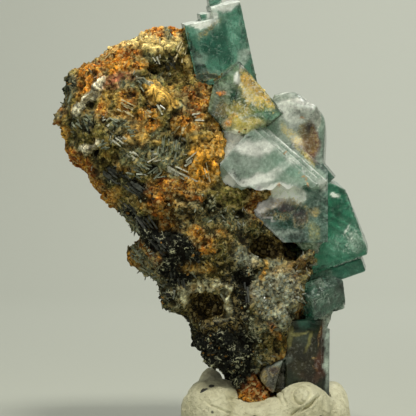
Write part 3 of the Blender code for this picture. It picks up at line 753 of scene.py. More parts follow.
# Bundles of needles and blades: kind, x and z of the middle, length, direction in degrees, how many and
# how far they spread across.
NEEDLE_BUNDLES = [
    ("quartz", -13.0, 39.8, 5.4, -27, 6, 1.4), ("quartz", -17.6, 53.4, 1.5, -35, 5, 0.6),
    ("straw", -20.6, 49.6, 2.8, -28, 9, 1.9), ("straw", -17.3, 48.6, 2.2, -12, 5, 0.8),
    ("quartz", -11.1, 42.3, 2.8, 38, 3, 0.6), ("straw", -8.9, 39.4, 3.2, -76, 4, 1.0),
    ("slate", -14.6, 43.8, 2.8, 80, 14, 3.4), ("slate", -18.8, 40.6, 2.3, -20, 14, 3.0),
    ("slate", -16.4, 40.0, 1.8, 30, 8, 2.0), ("slate", -20.2, 46.1, 1.6, 10, 8, 1.2),
    ("slate", -18.6, 53.4, 1.8, -50, 9, 1.8), ("slate", -28.4, 47.0, 1.6, -60, 8, 2.0),
    ("slate", -24.0, 44.0, 1.5, 30, 8, 1.8), ("slate", -22.4, 47.6, 1.5, -30, 6, 1.6),
    ("straw", -12.9, 46.4, 2.0, 70, 5, 1.2), ("straw", -13.0, 58.0, 2.6, 78, 7, 1.8),
    ("straw", -24.6, 58.4, 1.4, 60, 7, 3.0), ("straw", -17.6, 60.6, 1.2, 75, 8, 4.0),
    ("quartz", -17.0, 42.2, 1.6, 20, 5, 1.2), ("quartz", -20.2, 42.6, 1.4, -50, 5, 1.2),
    ("quartz", -16.2, 57.0, 1.5, -60, 4, 1.6), ("quartz", -10.6, 48.2, 1.6, 10, 4, 1.2),
    ("quartz", -15.6, 49.0, 1.8, -60, 3, 1.0), ("quartz", -23.8, 47.6, 1.4, 40, 4, 1.4),
    ("quartz", -21.6, 44.6, 1.5, -40, 4, 1.4), ("black", -22.8, 39.8, 3.0, -35, 9, 1.4),
    ("black", -19.6, 37.6, 3.6, -34, 10, 1.6), ("black", -20.6, 34.8, 3.0, -45, 4, 1.2),
    ("black", -17.6, 32.0, 4.4, -52, 5, 1.6), ("black", -16.4, 29.6, 3.8, -48, 5, 1.6),
    ("black", -13.4, 24.2, 3.0, -75, 5, 2.2), ("black", -3.1, 22.0, 4.6, -86, 3, 0.8),
    ("black", -14.6, 56.6, 2.4, -65, 5, 1.8), ("slate", -19.6, 27.4, 2.6, -38, 7, 1.6),
    ("slate", -18.0, 25.2, 2.4, -40, 6, 1.2), ("slate", -19.2, 31.8, 2.0, -35, 5, 1.2),
    ("slate", -26.6, 47.6, 1.8, -50, 5, 1.4), ("slate", -29.8, 51.6, 1.8, 75, 4, 0.9),
]
# Each kind's width and thickness, its dull and its light colour, how clear it is, and how smooth and rough.
NEEDLES = {
    "quartz": (0.22, 0.2, (0.42, 0.40, 0.25), (0.86, 0.85, 0.70), 0.25, 0.14, 0.4),
    "black": (0.26, 0.2, (0.012, 0.013, 0.010), (0.075, 0.080, 0.060), 0.0, 0.28, 0.6),
    "slate": (0.19, 0.17, (0.085, 0.105, 0.065), (0.36, 0.39, 0.26), 0.1, 0.3, 0.6),
    "straw": (0.18, 0.16, (0.42, 0.30, 0.09), (0.86, 0.76, 0.46), 0.1, 0.3, 0.6),
}
rng = np.random.default_rng(31)
rock_faces = search_tree(rock)


def bundle_mesh(kind, wide, thick):
    """All the needles or blades of one kind, each a long chipped prism that lies on the rock's show side."""
    shape = bmesh.new()
    for sort, x, z, length, direction, count, spread in NEEDLE_BUNDLES:
        if sort != kind:
            continue
        angle = math.radians(direction)
        for number in range(count):
            aside = spread * ((number + 0.5) / count - 0.5) + rng.uniform(-0.22, 0.22)
            slip = rng.uniform(-0.3, 0.3) * length
            astray = 0.07 if length > 2.7 else 0.4
            start = Vector((
                x - aside * math.sin(angle) + slip * math.cos(angle),
                -40.0,
                z + aside * math.cos(angle) + slip * math.sin(angle),
            ))
            touch = rock_faces.ray_cast(start, Vector((0, 1, 0)))[0]
            if touch is None:
                continue
            long = length * rng.uniform(0.3, 1.0)
            size = Matrix.Diagonal((long, thick * rng.uniform(0.7, 1.4), wide * rng.uniform(0.7, 1.5), 1))
            lie = Euler((rng.uniform(-0.5, 0.5), 0, rng.uniform(-0.16, 0.16))).to_matrix().to_4x4()
            roll = Matrix.Rotation(-angle + rng.uniform(-astray, astray), 4, "Y")
            place = Matrix.Translation(touch + Vector((0, rng.uniform(-0.12, 0.08), 0)))
            blade = bmesh.ops.create_cube(shape, size=1.0)["verts"]
            for corner in blade:
                if corner.co.x > 0:
                    corner.co.z *= rng.uniform(0.3, 0.9)
                corner.co.x += rng.uniform(-0.08, 0.08)
            bmesh.ops.transform(shape, matrix=Matrix.Scale(MM, 4) @ place @ roll @ lie @ size, verts=blade)
    bmesh.ops.recalc_face_normals(shape, faces=shape.faces)
    return shape


for kind, (wide, thick, dull, light, clear, smoothest, roughest) in NEEDLES.items():
    needles = shape_object(f"{kind}_blades", bundle_mesh(kind, wide, thick))
    needle_stone, shader, spot = material(f"{kind}_needle_stone")
    streak = texture(spot, 0.5, 3.0)
    tint = mixed(between(streak, 0.38, 0.62), dull, light)
    rough = between(streak, 0.3, 0.7, smoothest, roughest)
    finish(shader, tint, rough, Transmission_Weight=clear, IOR=QUARTZ_IOR)
    needles.data.materials.append(needle_stone)
    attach(needles, "root")

# The fluorite
# Cubes of fluorite, grown together in one crust on the rock: teal and see-through where clean, frosted by
# fine growth steps on some faces, and stained yellow and orange by iron. They share no joints with the
# rock, only the surface they grew from.

FLUORITE_IOR = 1.434
WORN_CRYSTALS = ("toe", "mottled_side", "sliver", "heel_inner")
ROUNDED_CRYSTALS = ("shoulder", "shoulder_corner", "toe", "mottled_side")
ROUNDING_TURNS = 60

# Each crystal of the crust, as it is built in the solid: its roll, pitch and yaw in degrees, then its boxes,
# each a corner of its show face, which way it runs from there, and its width, height and depth.
CRYSTALS = {
    "top": ((13.0, 8.0, 5.0), [
        ((-4.1, -7.6, 65.7), (-1, -1), (4.5, 12.4, 8.4)),
        ((-4.2, -7.4, 63.9), (-1, -1), (8.4, 9.6, 7.6)),
        ((-5.4, -6.6, 64.8), (-1, -1), (4.8, 9.6, 6.2)),
        ((-6.9, -4.4, 66.6), (-1, -1), (1.9, 8.0, 4.4)),
    ]),
    "stained": ((-48.6, 4.0, 6.0), [
        ((-4.2, -10.2, 56.5), (1, -1), (10.2, 8.4, 9.6)),
        ((-4.1, -10.8, 56.0), (1, -1), (9.7, 8.0, 6.0)),
    ]),
    "frosted": ((-41.6, -4.0, 4.0), [
        ((-1.35, -8.8, 47.85), (1, -1), (13.7, 11.4, 10.6)),
        ((-1.8, -9.4, 47.4), (1, -1), (13.4, 10.8, 9.0)),
        ((-2.3, -9.9, 46.8), (1, -1), (13.0, 10.0, 9.0)),
    ]),
    "frosted_corner": ((-3.0, -4.0, -12.0), [
        ((-2.6, -9.3, 46.4), (-1, -1), (4.3, 8.6, 8.0)),
    ]),
    "mottled": ((-42.5, 3.0, 4.0), [
        ((-3.9, -9.0, 35.4), (1, 1), (14.6, 12.4, 9.6)),
    ]),
    "mottled_side": ((-6.0, 2.0, -2.0), [
        ((8.8, -7.9, 36.6), (-1, -1), (3.4, 8.8, 7.0)),
    ]),
    "shoulder_corner": ((-17.3, 34.8, -43.9), [
        ((6.9, -7.4, 49.6), (-1, -1), (6.2, 9.4, 1.9)),
    ]),
    "shoulder": ((-3.5, 3.0, -6.0), [
        ((9.2, -5.2, 52.9), (-1, -1), (10.4, 15.3, 10.4)),
    ]),
    "green": ((19.5, 4.0, -6.0), [
        ((11.1, -5.2, 39.2), (-1, -1), (9.0, 12.1, 9.4)),
        ((11.8, -4.2, 38.0), (-1, -1), (8.4, 10.4, 8.2)),
    ]),
    "green_foot": ((19.5, 4.0, -6.0), [
        ((14.3, -3.8, 27.2), (-1, -1), (7.6, 2.1, 6.6)),
    ]),
    "wedge": ((-50.0, 4.0, -6.0), [
        ((8.4, -4.6, 41.6), (1, -1), (2.9, 3.6, 5.4)),
    ]),
    "heel": ((25.2, 18.7, 41.7), [
        ((11.6, -4.6, 23.9), (-1, -1), (6.4, 4.2, 6.6)),
    ]),
    "heel_inner": ((20.0, 4.0, -6.0), [
        ((8.2, -6.0, 24.6), (-1, -1), (4.4, 4.6, 9.0)),
        ((9.4, -3.4, 26.6), (-1, -1), (4.8, 7.6, 6.0)),
    ]),
    "sliver": ((-17.0, 3.0, 8.0), [
        ((10.3, -4.0, 19.3), (-1, -1), (2.6, 4.6, 4.4)),
    ]),
    "foot": ((0.0, 2.0, 10.0), [
        ((9.6, -3.8, 16.6), (-1, -1), (6.4, 10.4, 7.2)),
        ((8.4, -4.9, 18.0), (-1, -1), (5.6, 11.8, 7.6)),
    ]),
    "toe": ((-15.0, 3.0, 12.0), [
        ((3.0, -7.0, 12.6), (-1, -1), (3.3, 6.4, 6.4)),
        ((4.4, -4.4, 11.4), (-1, -1), (5.4, 5.4, 4.6)),
    ]),
    "back_upper": ((28.0, -6.0, 8.0), [
        ((-2.9, 3.0, 56.0), (-1, -1), (8.6, 9.6, 8.4)),
        ((-3.7, 3.6, 54.6), (-1, -1), (6.4, 7.0, 9.0)),
    ]),
    "back_middle": ((-24.0, -5.0, -10.0), [
        ((7.6, 2.4, 42.0), (-1, -1), (9.0, 9.4, 8.6)),
        ((8.4, 3.6, 40.0), (-1, -1), (6.6, 6.8, 8.4)),
    ]),
    "back_lower": ((18.0, -4.0, 14.0), [
        ((7.8, 2.0, 27.6), (-1, -1), (7.0, 9.0, 6.6)),
    ]),
}
# How each crystal looks: its own colour, how clouded it is from 0 (clear) to 1 (opaque), how frosted, then
# the colour and strength of the rim along its edges, which is partly the crystal's pale zoning and partly
# painted edge light, and the strength of the frost and painted highlight on its upward faces.
CRYSTAL_LOOKS = {
    "top": ((0.15, 0.37, 0.28), 0.22, 0.05, "mist", 0.35, 1.0),
    "stained": ((0.38, 0.46, 0.27), 0.45, 0.18, "shade", 0.75, 0.2),
    "frosted": ((0.40, 0.52, 0.42), 0.62, 0.10, "frost", 0.55, 0.3),
    "frosted_corner": ((0.86, 0.87, 0.76), 0.80, 0.30, "frost", 0.5, 0.3),
    "mottled": ((0.14, 0.21, 0.175), 0.62, 0.22, "lilac", 0.45, 0.2),
    "mottled_side": ((0.22, 0.27, 0.18), 0.70, 0.45, "lilac", 0.30, 0.1),
    "shoulder_corner": ((0.66, 0.66, 0.57), 0.70, 0.35, "mist", 0.35, 0.2),
    "shoulder": ((0.56, 0.60, 0.52), 0.50, 0.25, "mist", 0.35, 0.1),
    "green": ((0.055, 0.27, 0.17), 0.30, 0.04, "mist", 0.25, 0.5),
    "green_foot": ((0.05, 0.19, 0.13), 0.30, 0.05, "mint", 0.15, 0.1),
    "wedge": ((0.05, 0.12, 0.09), 0.4, 0.05, "mist", 0.2, 0.1),
    "heel": ((0.105, 0.19, 0.145), 0.42, 0.10, "mist", 0.25, 0.1),
    "heel_inner": ((0.13, 0.19, 0.14), 0.50, 0.15, "mist", 0.25, 0.0),
    "sliver": ((0.50, 0.52, 0.42), 0.35, 0.15, "mist", 0.4, 0.1),
    "foot": ((0.011, 0.018, 0.007), 0.92, 0.02, "peat", 0.3, 0.0),
    "toe": ((0.115, 0.110, 0.085), 0.75, 0.30, "mist", 0.12, 0.1),
    "back_upper": ((0.16, 0.36, 0.27), 0.25, 0.10, "mist", 0.3, 0.5),
    "back_middle": ((0.30, 0.42, 0.33), 0.40, 0.20, "mist", 0.3, 0.4),
    "back_lower": ((0.20, 0.34, 0.25), 0.35, 0.15, "mist", 0.3, 0.3),
}
FLUORITE_COLOURS = {
    "frost": (0.84, 0.87, 0.80), "mist": (0.48, 0.58, 0.49), "lilac": (0.66, 0.62, 0.61),
    "yellow": (0.62, 0.48, 0.08), "gold": (0.84, 0.60, 0.11), "plum": (0.21, 0.085, 0.058),
    "wine": (0.080, 0.026, 0.014), "leaf": (0.20, 0.36, 0.15), "cloud": (0.88, 0.90, 0.82),
    "amber": (0.66, 0.34, 0.035), "orange": (0.66, 0.19, 0.02), "violet": (0.050, 0.034, 0.055),
    "honey": (0.46, 0.42, 0.13), "ember": (0.42, 0.10, 0.015), "brown": (0.13, 0.075, 0.045),
    "deep": (0.025, 0.105, 0.072), "shade": (0.06, 0.075, 0.055), "peat": (0.040, 0.032, 0.015),
    "bark": (0.034, 0.028, 0.013), "mint": (0.22, 0.47, 0.35), "rind": (0.13, 0.10, 0.045),
}
CLOUDED_KINDS = (
    "frost", "cloud", "honey", "plum", "wine", "bark", "lilac", "yellow", "gold", "amber", "orange",
    "brown", "rind", "violet", "peat",
)
STAINS = ("ember", "yellow", "gold", "amber", "orange", "brown", "rind", "violet", "peat")
MARKS = ("veins", "lines", "bands")
# The frosted crystal ends below in a broken edge: the height of that edge and how far it wanders.
RAGGED_EDGE = 37.9
RAGGED_DEPTH = 0.9
# How even a crystal's own colour is, from 0 to 1, where it is more even than the rest.
CALM_CRYSTALS = {
    "frosted": 0.75, "frosted_corner": 0.6, "shoulder": 0.35, "top": 0.3, "green": 0.2, "stained": 0.2,
}
# Blooms on and just under the show faces, as for the rock's patches: kind, x, z, half sizes, turn, strength.
FLUORITE_PATCHES = [
    ("veins", 4.4, 49.2, 2.6, 1.8, -10, 1.0), ("veins", -1.9, 50.6, 3.0, 3.4, 0, 0.9),
    ("veins", -6.4, 50.0, 2.2, 3.2, 0, 0.6), ("lines", 4.6, 41.9, 5.6, 1.3, -42, 0.9),
    ("lines", 8.4, 22.6, 2.6, 2.6, 0, 0.35), ("veins", 7.4, 22.2, 2.6, 2.4, 0, 0.8),
    ("bands", 11.6, 35.0, 4.0, 4.6, 0, 1.0), ("bands", -6.6, 58.6, 4.0, 4.6, 0, 0.35),
    ("bands", 12.4, 28.4, 4.0, 3.0, 0, 0.5), ("mist", -8.2, 62.0, 2.8, 1.1, 42, 0.6),
    # Frost and painted highlight: the white strips along the top crystal's upper edges, from x -9.9 to -6.0
    # near z 62 to 65, are partly frost and partly the light from above painted on.
    ("rind", -8.6, 61.6, 2.2, 0.45, 42, 0.6), ("frost", -9.9, 62.3, 2.0, 0.65, 10, 1.4),
    ("frost", -6.0, 65.1, 2.4, 0.85, 12, 1.4), ("frost", -8.2, 63.2, 0.8, 1.4, 24, 1.0),
    ("rind", -9.0, 61.2, 1.2, 0.35, 30, 0.7), ("frost", -8.3, 63.6, 0.5, 1.0, 30, 0.7),
    ("deep", -7.9, 59.2, 2.4, 2.0, 30, 1.0), ("deep", -6.2, 61.8, 0.8, 1.8, -20, 0.8),
    ("deep", -5.4, 57.6, 1.9, 1.0, 35, 0.9), ("deep", -3.9, 60.6, 0.4, 2.6, 12, 0.9),
    ("mint", -5.0, 61.2, 0.8, 2.6, 10, 0.6), ("mint", -4.4, 57.6, 0.9, 2.0, -10, 0.7),
    ("mist", -9.8, 56.8, 1.1, 1.2, 0, 0.55), ("mist", -7.6, 55.0, 2.8, 0.35, -5, 0.6),
    # Painted reflection: the pale streak of mist and frost at x -3.6 z 57.2 stands for a bright reflection
    # inside the top crystal.
    ("mist", -3.6, 57.2, 1.9, 0.8, 58, 1.0), ("frost", -3.3, 57.4, 1.5, 0.5, 58, 0.4),
    ("shade", -2.9, 60.2, 5.6, 0.13, -80.5, 1.3), ("mist", -2.3, 60.4, 5.4, 0.25, -80.5, 0.6),
    ("frost", -4.1, 55.5, 0.5, 0.6, 0, 0.9), ("mist", -6.6, 52.6, 1.6, 1.0, 35, 0.5),
    ("orange", -7.2, 51.6, 0.75, 0.4, 0, 1.1), ("deep", -5.1, 51.2, 0.8, 1.5, 15, 0.9),
    ("violet", -7.0, 49.3, 1.0, 1.2, 0, 0.75), ("mist", -7.9, 50.4, 0.35, 2.6, 0, 0.5),
    ("amber", -5.5, 47.9, 1.5, 0.6, 40, 0.9), ("leaf", -1.4, 49.6, 2.0, 1.5, -20, 1.0),
    ("cloud", -2.6, 51.9, 2.4, 0.8, -50, 0.8), ("gold", -2.6, 51.4, 2.6, 0.8, -52, 1.0),
    ("gold", -1.6, 52.1, 3.9, 1.0, -50, 1.0), ("amber", -2.6, 53.2, 2.2, 0.6, -50, 0.8),
    ("amber", -0.2, 50.9, 1.2, 0.4, -50, 0.8), ("frost", -3.2, 51.6, 2.2, 0.26, -60, 1.1),
    ("frost", -3.4, 49.8, 1.4, 0.16, 74, 0.9), ("cloud", -4.6, 54.2, 0.6, 0.8, 10, 1.0),
    ("yellow", -4.4, 50.0, 1.0, 0.8, 0, 0.8), ("deep", -1.3, 49.9, 0.8, 0.5, 0, 0.5),
    ("mint", 0.5, 48.8, 1.3, 0.8, 0, 0.7), ("deep", 0.9, 49.0, 0.7, 0.4, 0, 0.6),
    ("gold", -2.85, 49.9, 1.3, 0.16, 78, 1.0), ("gold", -4.6, 48.1, 1.7, 0.16, 25, 1.0),
    ("honey", -4.4, 49.0, 2.4, 1.1, -8, 1.1), ("honey", -3.2, 47.7, 2.6, 0.7, -4, 1.0),
    ("honey", -3.6, 46.5, 2.1, 0.6, 4, 0.9), ("yellow", -3.2, 47.5, 2.8, 0.6, -4, 0.6),
    ("frost", -4.4, 48.5, 1.6, 0.12, -30, 0.8), ("mist", -2.2, 48.3, 1.8, 0.14, 12, 0.8),
    ("yellow", -4.0, 46.9, 1.4, 0.35, -20, 0.7), ("orange", -5.9, 47.6, 0.6, 0.3, 30, 0.8),
    ("frost", -5.7, 45.0, 0.9, 1.3, 0, 0.6), ("shade", -3.7, 45.5, 1.7, 0.13, -22, 1.1),
    ("cloud", -2.6, 43.4, 2.4, 1.2, -12, 0.95), ("cloud", -0.6, 43.9, 2.0, 1.2, 12, 0.95),
    ("cloud", -5.4, 45.4, 1.4, 1.0, 30, 0.8), ("mist", -1.0, 41.4, 4.0, 0.8, 0, 0.5),
    ("cloud", -1.6, 39.0, 3.4, 0.8, 14, 0.9), ("cloud", 1.6, 40.6, 2.8, 0.6, 34, 0.9),
    ("frost", -5.8, 38.6, 1.2, 1.5, -30, 1.0), ("mist", -3.2, 41.2, 3.0, 0.8, -6, 0.5),
    ("shade", -4.4, 39.4, 1.6, 0.1, -42, 0.8), ("mint", 3.4, 40.6, 2.4, 1.0, -30, 0.4),
    ("frost", 3.6, 43.3, 5.2, 0.14, -41, 0.9), ("frost", 3.2, 42.6, 4.6, 0.10, -41, 0.8),
    ("frost", 4.6, 41.0, 4.2, 0.12, -42, 0.7), ("shade", 4.0, 42.6, 3.6, 0.06, -41, 0.6),
    ("frost", 8.1, 38.4, 0.7, 0.9, 0, 0.8), ("orange", 2.7, 43.2, 0.10, 0.5, -20, 1.0),
    ("orange", 5.4, 39.3, 0.8, 0.11, -38, 1.0), ("orange", 6.0, 38.6, 0.12, 0.7, 10, 1.0),
    ("orange", 1.5, 38.3, 0.5, 0.10, 0, 1.0), ("frost", 0.2, 35.9, 2.2, 1.9, 10, 1.3),
    ("cloud", 1.6, 36.9, 3.4, 1.3, -8, 1.2), ("lilac", 0.4, 35.4, 1.8, 1.2, 10, 0.8),
    ("mist", 0.7, 36.6, 1.0, 0.7, 0, 0.5), ("frost", 2.7, 37.5, 3.0, 0.8, -14, 1.3),
    ("frost", 3.4, 36.4, 1.6, 0.5, -40, 1.2), ("lilac", -1.4, 36.0, 0.8, 1.8, 0, 0.8),
    ("violet", 3.6, 34.8, 3.0, 1.2, -6, 0.7), ("violet", 1.2, 33.8, 2.2, 0.7, -20, 0.6),
    ("frost", 3.6, 37.0, 0.9, 0.4, -55, 1.0), ("frost", 4.6, 36.1, 1.2, 0.5, 12, 1.1),
    ("lilac", -1.4, 36.4, 0.5, 1.5, 0, 0.8), ("deep", 2.4, 34.4, 2.8, 0.5, 8, 1.0),
    ("violet", 4.9, 33.4, 1.3, 1.7, 0, 0.9), ("violet", 0.4, 34.0, 1.2, 0.4, 12, 0.6),
    ("deep", 3.4, 32.2, 1.9, 0.8, 0, 0.9), ("deep", 1.6, 33.4, 1.6, 0.8, 20, 0.7),
    ("violet", 2.6, 34.6, 1.4, 0.6, 10, 0.9), ("lilac", -0.4, 33.6, 1.6, 0.16, -32, 0.8),
    ("mist", 2.4, 31.0, 2.4, 0.4, 0, 0.6), ("amber", 7.0, 34.4, 0.7, 0.8, 0, 0.45),
    ("yellow", 6.8, 31.4, 0.9, 1.4, 0, 0.3), ("orange", 6.6, 26.8, 1.2, 0.5, 0, 0.9),
    ("lilac", 4.9, 49.4, 2.6, 1.9, -20, 0.6), ("cloud", 3.6, 49.6, 2.2, 1.5, -20, 1.1),
    ("frost", 5.6, 48.6, 1.2, 0.7, 20, 0.8), ("frost", 5.8, 50.2, 1.5, 0.28, -15, 0.8),
    ("frost", 6.2, 49.2, 1.2, 0.22, 10, 0.7), ("gold", 3.9, 45.8, 2.6, 0.8, -50, 0.7),
    ("lilac", 4.6, 47.4, 1.0, 1.0, 0, 0.6), ("orange", 5.2, 48.3, 0.3, 0.3, 0, 1.0),
    ("plum", 6.5, 44.9, 1.5, 3.0, 8, 1.2), ("brown", 6.5, 44.9, 1.2, 2.4, 8, 0.8),
    ("lilac", 4.6, 44.6, 0.9, 1.6, 20, 0.8), ("cloud", 5.0, 48.3, 2.2, 0.8, -16, 0.9),
    ("cloud", 3.9, 46.0, 0.7, 1.6, 38, 0.7), ("mint", 8.6, 47.6, 0.5, 3.0, -6, 0.4),
    ("rind", 5.6, 46.4, 0.9, 1.2, 0, 0.9), ("frost", 4.6, 49.2, 2.0, 0.9, -20, 0.7),
    ("violet", 6.2, 47.2, 0.5, 0.9, 0, 0.7), ("mist", 8.5, 46.0, 0.4, 3.6, 0, 0.7),
    ("yellow", 5.6, 42.8, 2.4, 0.3, -48, 0.8), ("deep", 11.4, 37.0, 2.2, 0.35, 32, 0.8),
    ("deep", 11.4, 35.6, 2.2, 0.35, 32, 0.9), ("deep", 11.2, 34.2, 2.4, 0.35, 32, 0.8),
    ("deep", 10.6, 36.8, 1.2, 2.0, 20, 0.5), ("mint", 12.4, 30.0, 2.8, 2.2, 20, 0.8),
    # Painted glints: the small frost spots at x 12.9 z 30.5, x 12.2 z 31.4 and x 10.3 z 36.6 on the green
    # crystal are painted highlights.
    ("mist", 13.6, 29.6, 1.4, 1.6, 20, 0.7), ("frost", 12.9, 30.5, 0.2, 0.5, -30, 1.0),
    ("veins", 12.6, 29.8, 3.0, 2.0, 20, 0.8), ("mint", 10.0, 29.0, 1.0, 1.6, 20, 0.5),
    ("frost", 10.3, 36.6, 0.85, 0.3, -25, 1.2), ("frost", 12.2, 31.4, 0.25, 0.7, -30, 1.0),
    ("mint", 6.0, 22.8, 1.4, 1.3, 0, 0.7), ("shade", 7.6, 22.8, 0.25, 1.4, 10, 0.7),
    ("ember", 5.3, 20.0, 0.25, 0.9, 25, 1.0), ("wine", 8.3, 11.4, 1.0, 2.2, 6, 0.8),
    ("wine", 8.6, 15.8, 0.4, 2.2, 2, 0.7), ("wine", 6.6, 9.4, 1.6, 0.9, 2, 0.5),
    ("ember", 7.2, 12.4, 0.5, 0.3, -20, 0.4), ("ember", 8.0, 15.4, 0.2, 1.4, 2, 0.35),
    ("ember", 7.4, 10.6, 0.2, 0.6, 40, 0.5), ("deep", 6.0, 18.4, 1.6, 1.6, 0, 0.9),
    ("peat", -9.2, 54.4, 1.9, 0.5, -4, 1.8), ("mist", 9.25, 12.8, 0.5, 5.6, 1, 0.9),
    ("shade", 5.0, 14.8, 1.3, 1.6, 0, 0.8), ("bark", 4.8, 12.0, 1.8, 3.2, 20, 0.7),
    ("bark", 6.6, 12.4, 0.8, 3.4, -8, 0.7), ("honey", 4.4, 15.9, 1.6, 0.22, 8, 0.5),
    ("honey", 6.2, 14.6, 0.22, 1.4, -14, 0.4), ("honey", 3.5, 15.4, 0.3, 1.8, -8, 0.4),
    ("mist", 1.6, 11.6, 2.0, 0.7, 10, 0.5), ("violet", 1.2, 10.4, 0.9, 0.9, 0, 0.9),
    ("rind", -1.2, 9.6, 1.0, 2.4, -10, 0.8), ("orange", -1.0, 7.4, 1.6, 0.9, 0, 0.9),
    ("rind", 1.4, 6.6, 2.4, 0.6, 0, 0.7),
]
# Spots of rusty crust that stand on the crystals: x, z and reach in millimetres.
CRUST_SPOTS = [
    (-10.4, 54.2, 0.9), (-9.2, 54.2, 0.8), (-8.0, 54.2, 0.6), (-6.9, 54.3, 0.45), (-1.5, 55.2, 0.7),
    (0.7, 52.4, 0.8), (-7.2, 51.6, 0.5), (6.2, 25.6, 0.9), (5.6, 20.4, 0.7),
]

def crystal_turn(turn):
    """The rotation of a crystal from roll, pitch and yaw in degrees."""
    roll, pitch, yaw = (math.radians(angle) for angle in turn)
    return Matrix.Rotation(yaw, 3, "Z") @ Matrix.Rotation(pitch, 3, "X") @ Matrix.Rotation(-roll, 3, "Y")


def crystal_places(points, axes, box):
    """Each point's place along a crystal's own axes, and its distance from one box's faces and edges."""
    corner, runs, size = box
    own = (points - np.array(corner)) @ axes
    half = np.array((size[0], size[2], size[1])) / 2
    middle = np.array((runs[0] * half[0], half[1], runs[1] * half[2]))
    out = np.abs(own - middle) - half
    far = np.linalg.norm(np.maximum(out, 0), axis=1) + np.minimum(out.max(axis=1), 0)
    return own, np.abs(far), np.maximum(-np.sort(out, axis=1)[:, 1], 0)


fluorite = merged_copy("fluorite", "fluorite_crystals")
modified(
    fluorite, "REMESH", mode="SHARP", octree_depth=8, scale=0.9, sharpness=1.0, use_remove_disconnected=True,
)
settled(fluorite)
places, facings = corners(fluorite.data)
nearest = np.full(len(places), 1e9)
own_places = np.zeros((len(places), 3))
own_facings = np.zeros((len(places), 3))
edge_distance = np.zeros(len(places))
owner = np.zeros(len(places), dtype=int)
for number, (turn, boxes) in enumerate(CRYSTALS.values()):
    axes = np.array(crystal_turn(turn))
    for box in boxes:
        own, far, edge = crystal_places(places, axes, box)
        closer = far < nearest
        nearest[closer] = far[closer]
        own_places[closer] = own[closer] + 31.0 * number
        own_facings[closer] = (facings @ axes)[closer]
        edge_distance[closer] = edge[closer]
        owner[closer] = number


def belongs(*names):
    """Which places belong to those crystals."""
    return np.isin(owner, [list(CRYSTALS).index(name) for name in names])


looks = [CRYSTAL_LOOKS[name] for name in CRYSTALS]
looks = [(tint, cloudy, frosty, FLUORITE_COLOURS[rim_zoning_and_painted_light], *rest) for tint, cloudy, frosty, rim_zoning_and_painted_light, *rest in looks]
looks = [np.array(look)[owner] for look in zip(*looks)]
colour, clouded, frosted, rim_zoning_and_light_colour, rim_zoning_and_light_strength, upward_frost_and_highlight_strength = looks

# Flat faces carry low growth terraces with edges along the crystal's own axes. Worn ones are pitted.
terrace = np.zeros(len(places))
for index, (own, facing) in enumerate(zip(own_places, own_facings)):
    main = int(np.argmax(np.abs(facing)))
    if abs(facing[main]) < 0.93:
        continue
    flat = Vector(own)
    flat[main] = 40.0 * main
    blocky = noise.cell(flat / 1.6) * 0.25 + noise.noise(flat / 3.4) + 0.35 * noise.noise(flat / 1.1)
    terrace[index] = math.floor(blocky * 4.0) / 4.0
ruffle = noise_field(places, 0.8, 6)
lumpy = noise_field(places, 1.7, 7)
lift = 0.07 * terrace + 0.02 * ruffle * (1 + 2 * frosted)
lift -= belongs(*WORN_CRYSTALS) * (0.12 + 0.28 * np.abs(lumpy) + 0.10 * np.abs(ruffle))
places = places + facings * lift[:, None]
ragged = belongs("frosted") * (1 - smooth(places[:, 2], RAGGED_EDGE, RAGGED_EDGE + 1.0))
places[:, 2] += ragged * (places[:, 0] > -4.5) * RAGGED_DEPTH * noise_field(places, 1.3, 21)
put(fluorite.data, places)
rounding = bmesh.new()
rounding.from_mesh(fluorite.data)
rounding.verts.ensure_lookup_table()
soft = [rounding.verts[index] for index in np.flatnonzero(belongs(*ROUNDED_CRYSTALS))]
for _ in range(ROUNDING_TURNS):
    bmesh.ops.smooth_vert(rounding, verts=soft, factor=0.5, use_axis_x=True, use_axis_y=True, use_axis_z=True)
rounding.to_mesh(fluorite.data)
rounding.free()
places, facings = corners(fluorite.data)

wandering = wavering(wavering(wavering(places, 2.4, 0.5), 0.7, 0.26), 0.3, 0.10)
front = 1 - smooth(places[:, 1], -4.5, 2.0)
stain_colour = np.tile(FLUORITE_COLOURS["gold"], (len(places), 1))
stained = np.zeros(len(places))
growth_marks = np.zeros((len(places), 3))
growth_marks[:, 0] = 0.25 * smooth(colour.mean(axis=1), 0.05, 0.2)
for kind, *patch in FLUORITE_PATCHES:
    cover = np.clip(patch_cover(wandering, patch) * front, 0, 1)
    if kind in MARKS:
        mark = growth_marks[:, MARKS.index(kind)]
        mark[:] = np.maximum(mark, cover)
        continue
    if kind in STAINS:
        stain_colour = blended(stain_colour, FLUORITE_COLOURS[kind], cover)
        stained = np.maximum(stained, cover)
        cover = 0.5 * cover
    colour = blended(colour, FLUORITE_COLOURS[kind], cover)
    if kind in CLOUDED_KINDS:
        clouded = np.maximum(clouded, 0.95 * cover)
        frosted = np.maximum(frosted, (0.7 if kind == "frost" else 0.35) * cover)
    else:
        clouded = np.maximum(clouded, 0.6 * cover)
# Upward faces are painted whiter: partly frost, partly a painted highlight of the light from above.
upward_frost_and_highlight = smooth(facings[:, 2], 0.5, 0.8) * upward_frost_and_highlight_strength
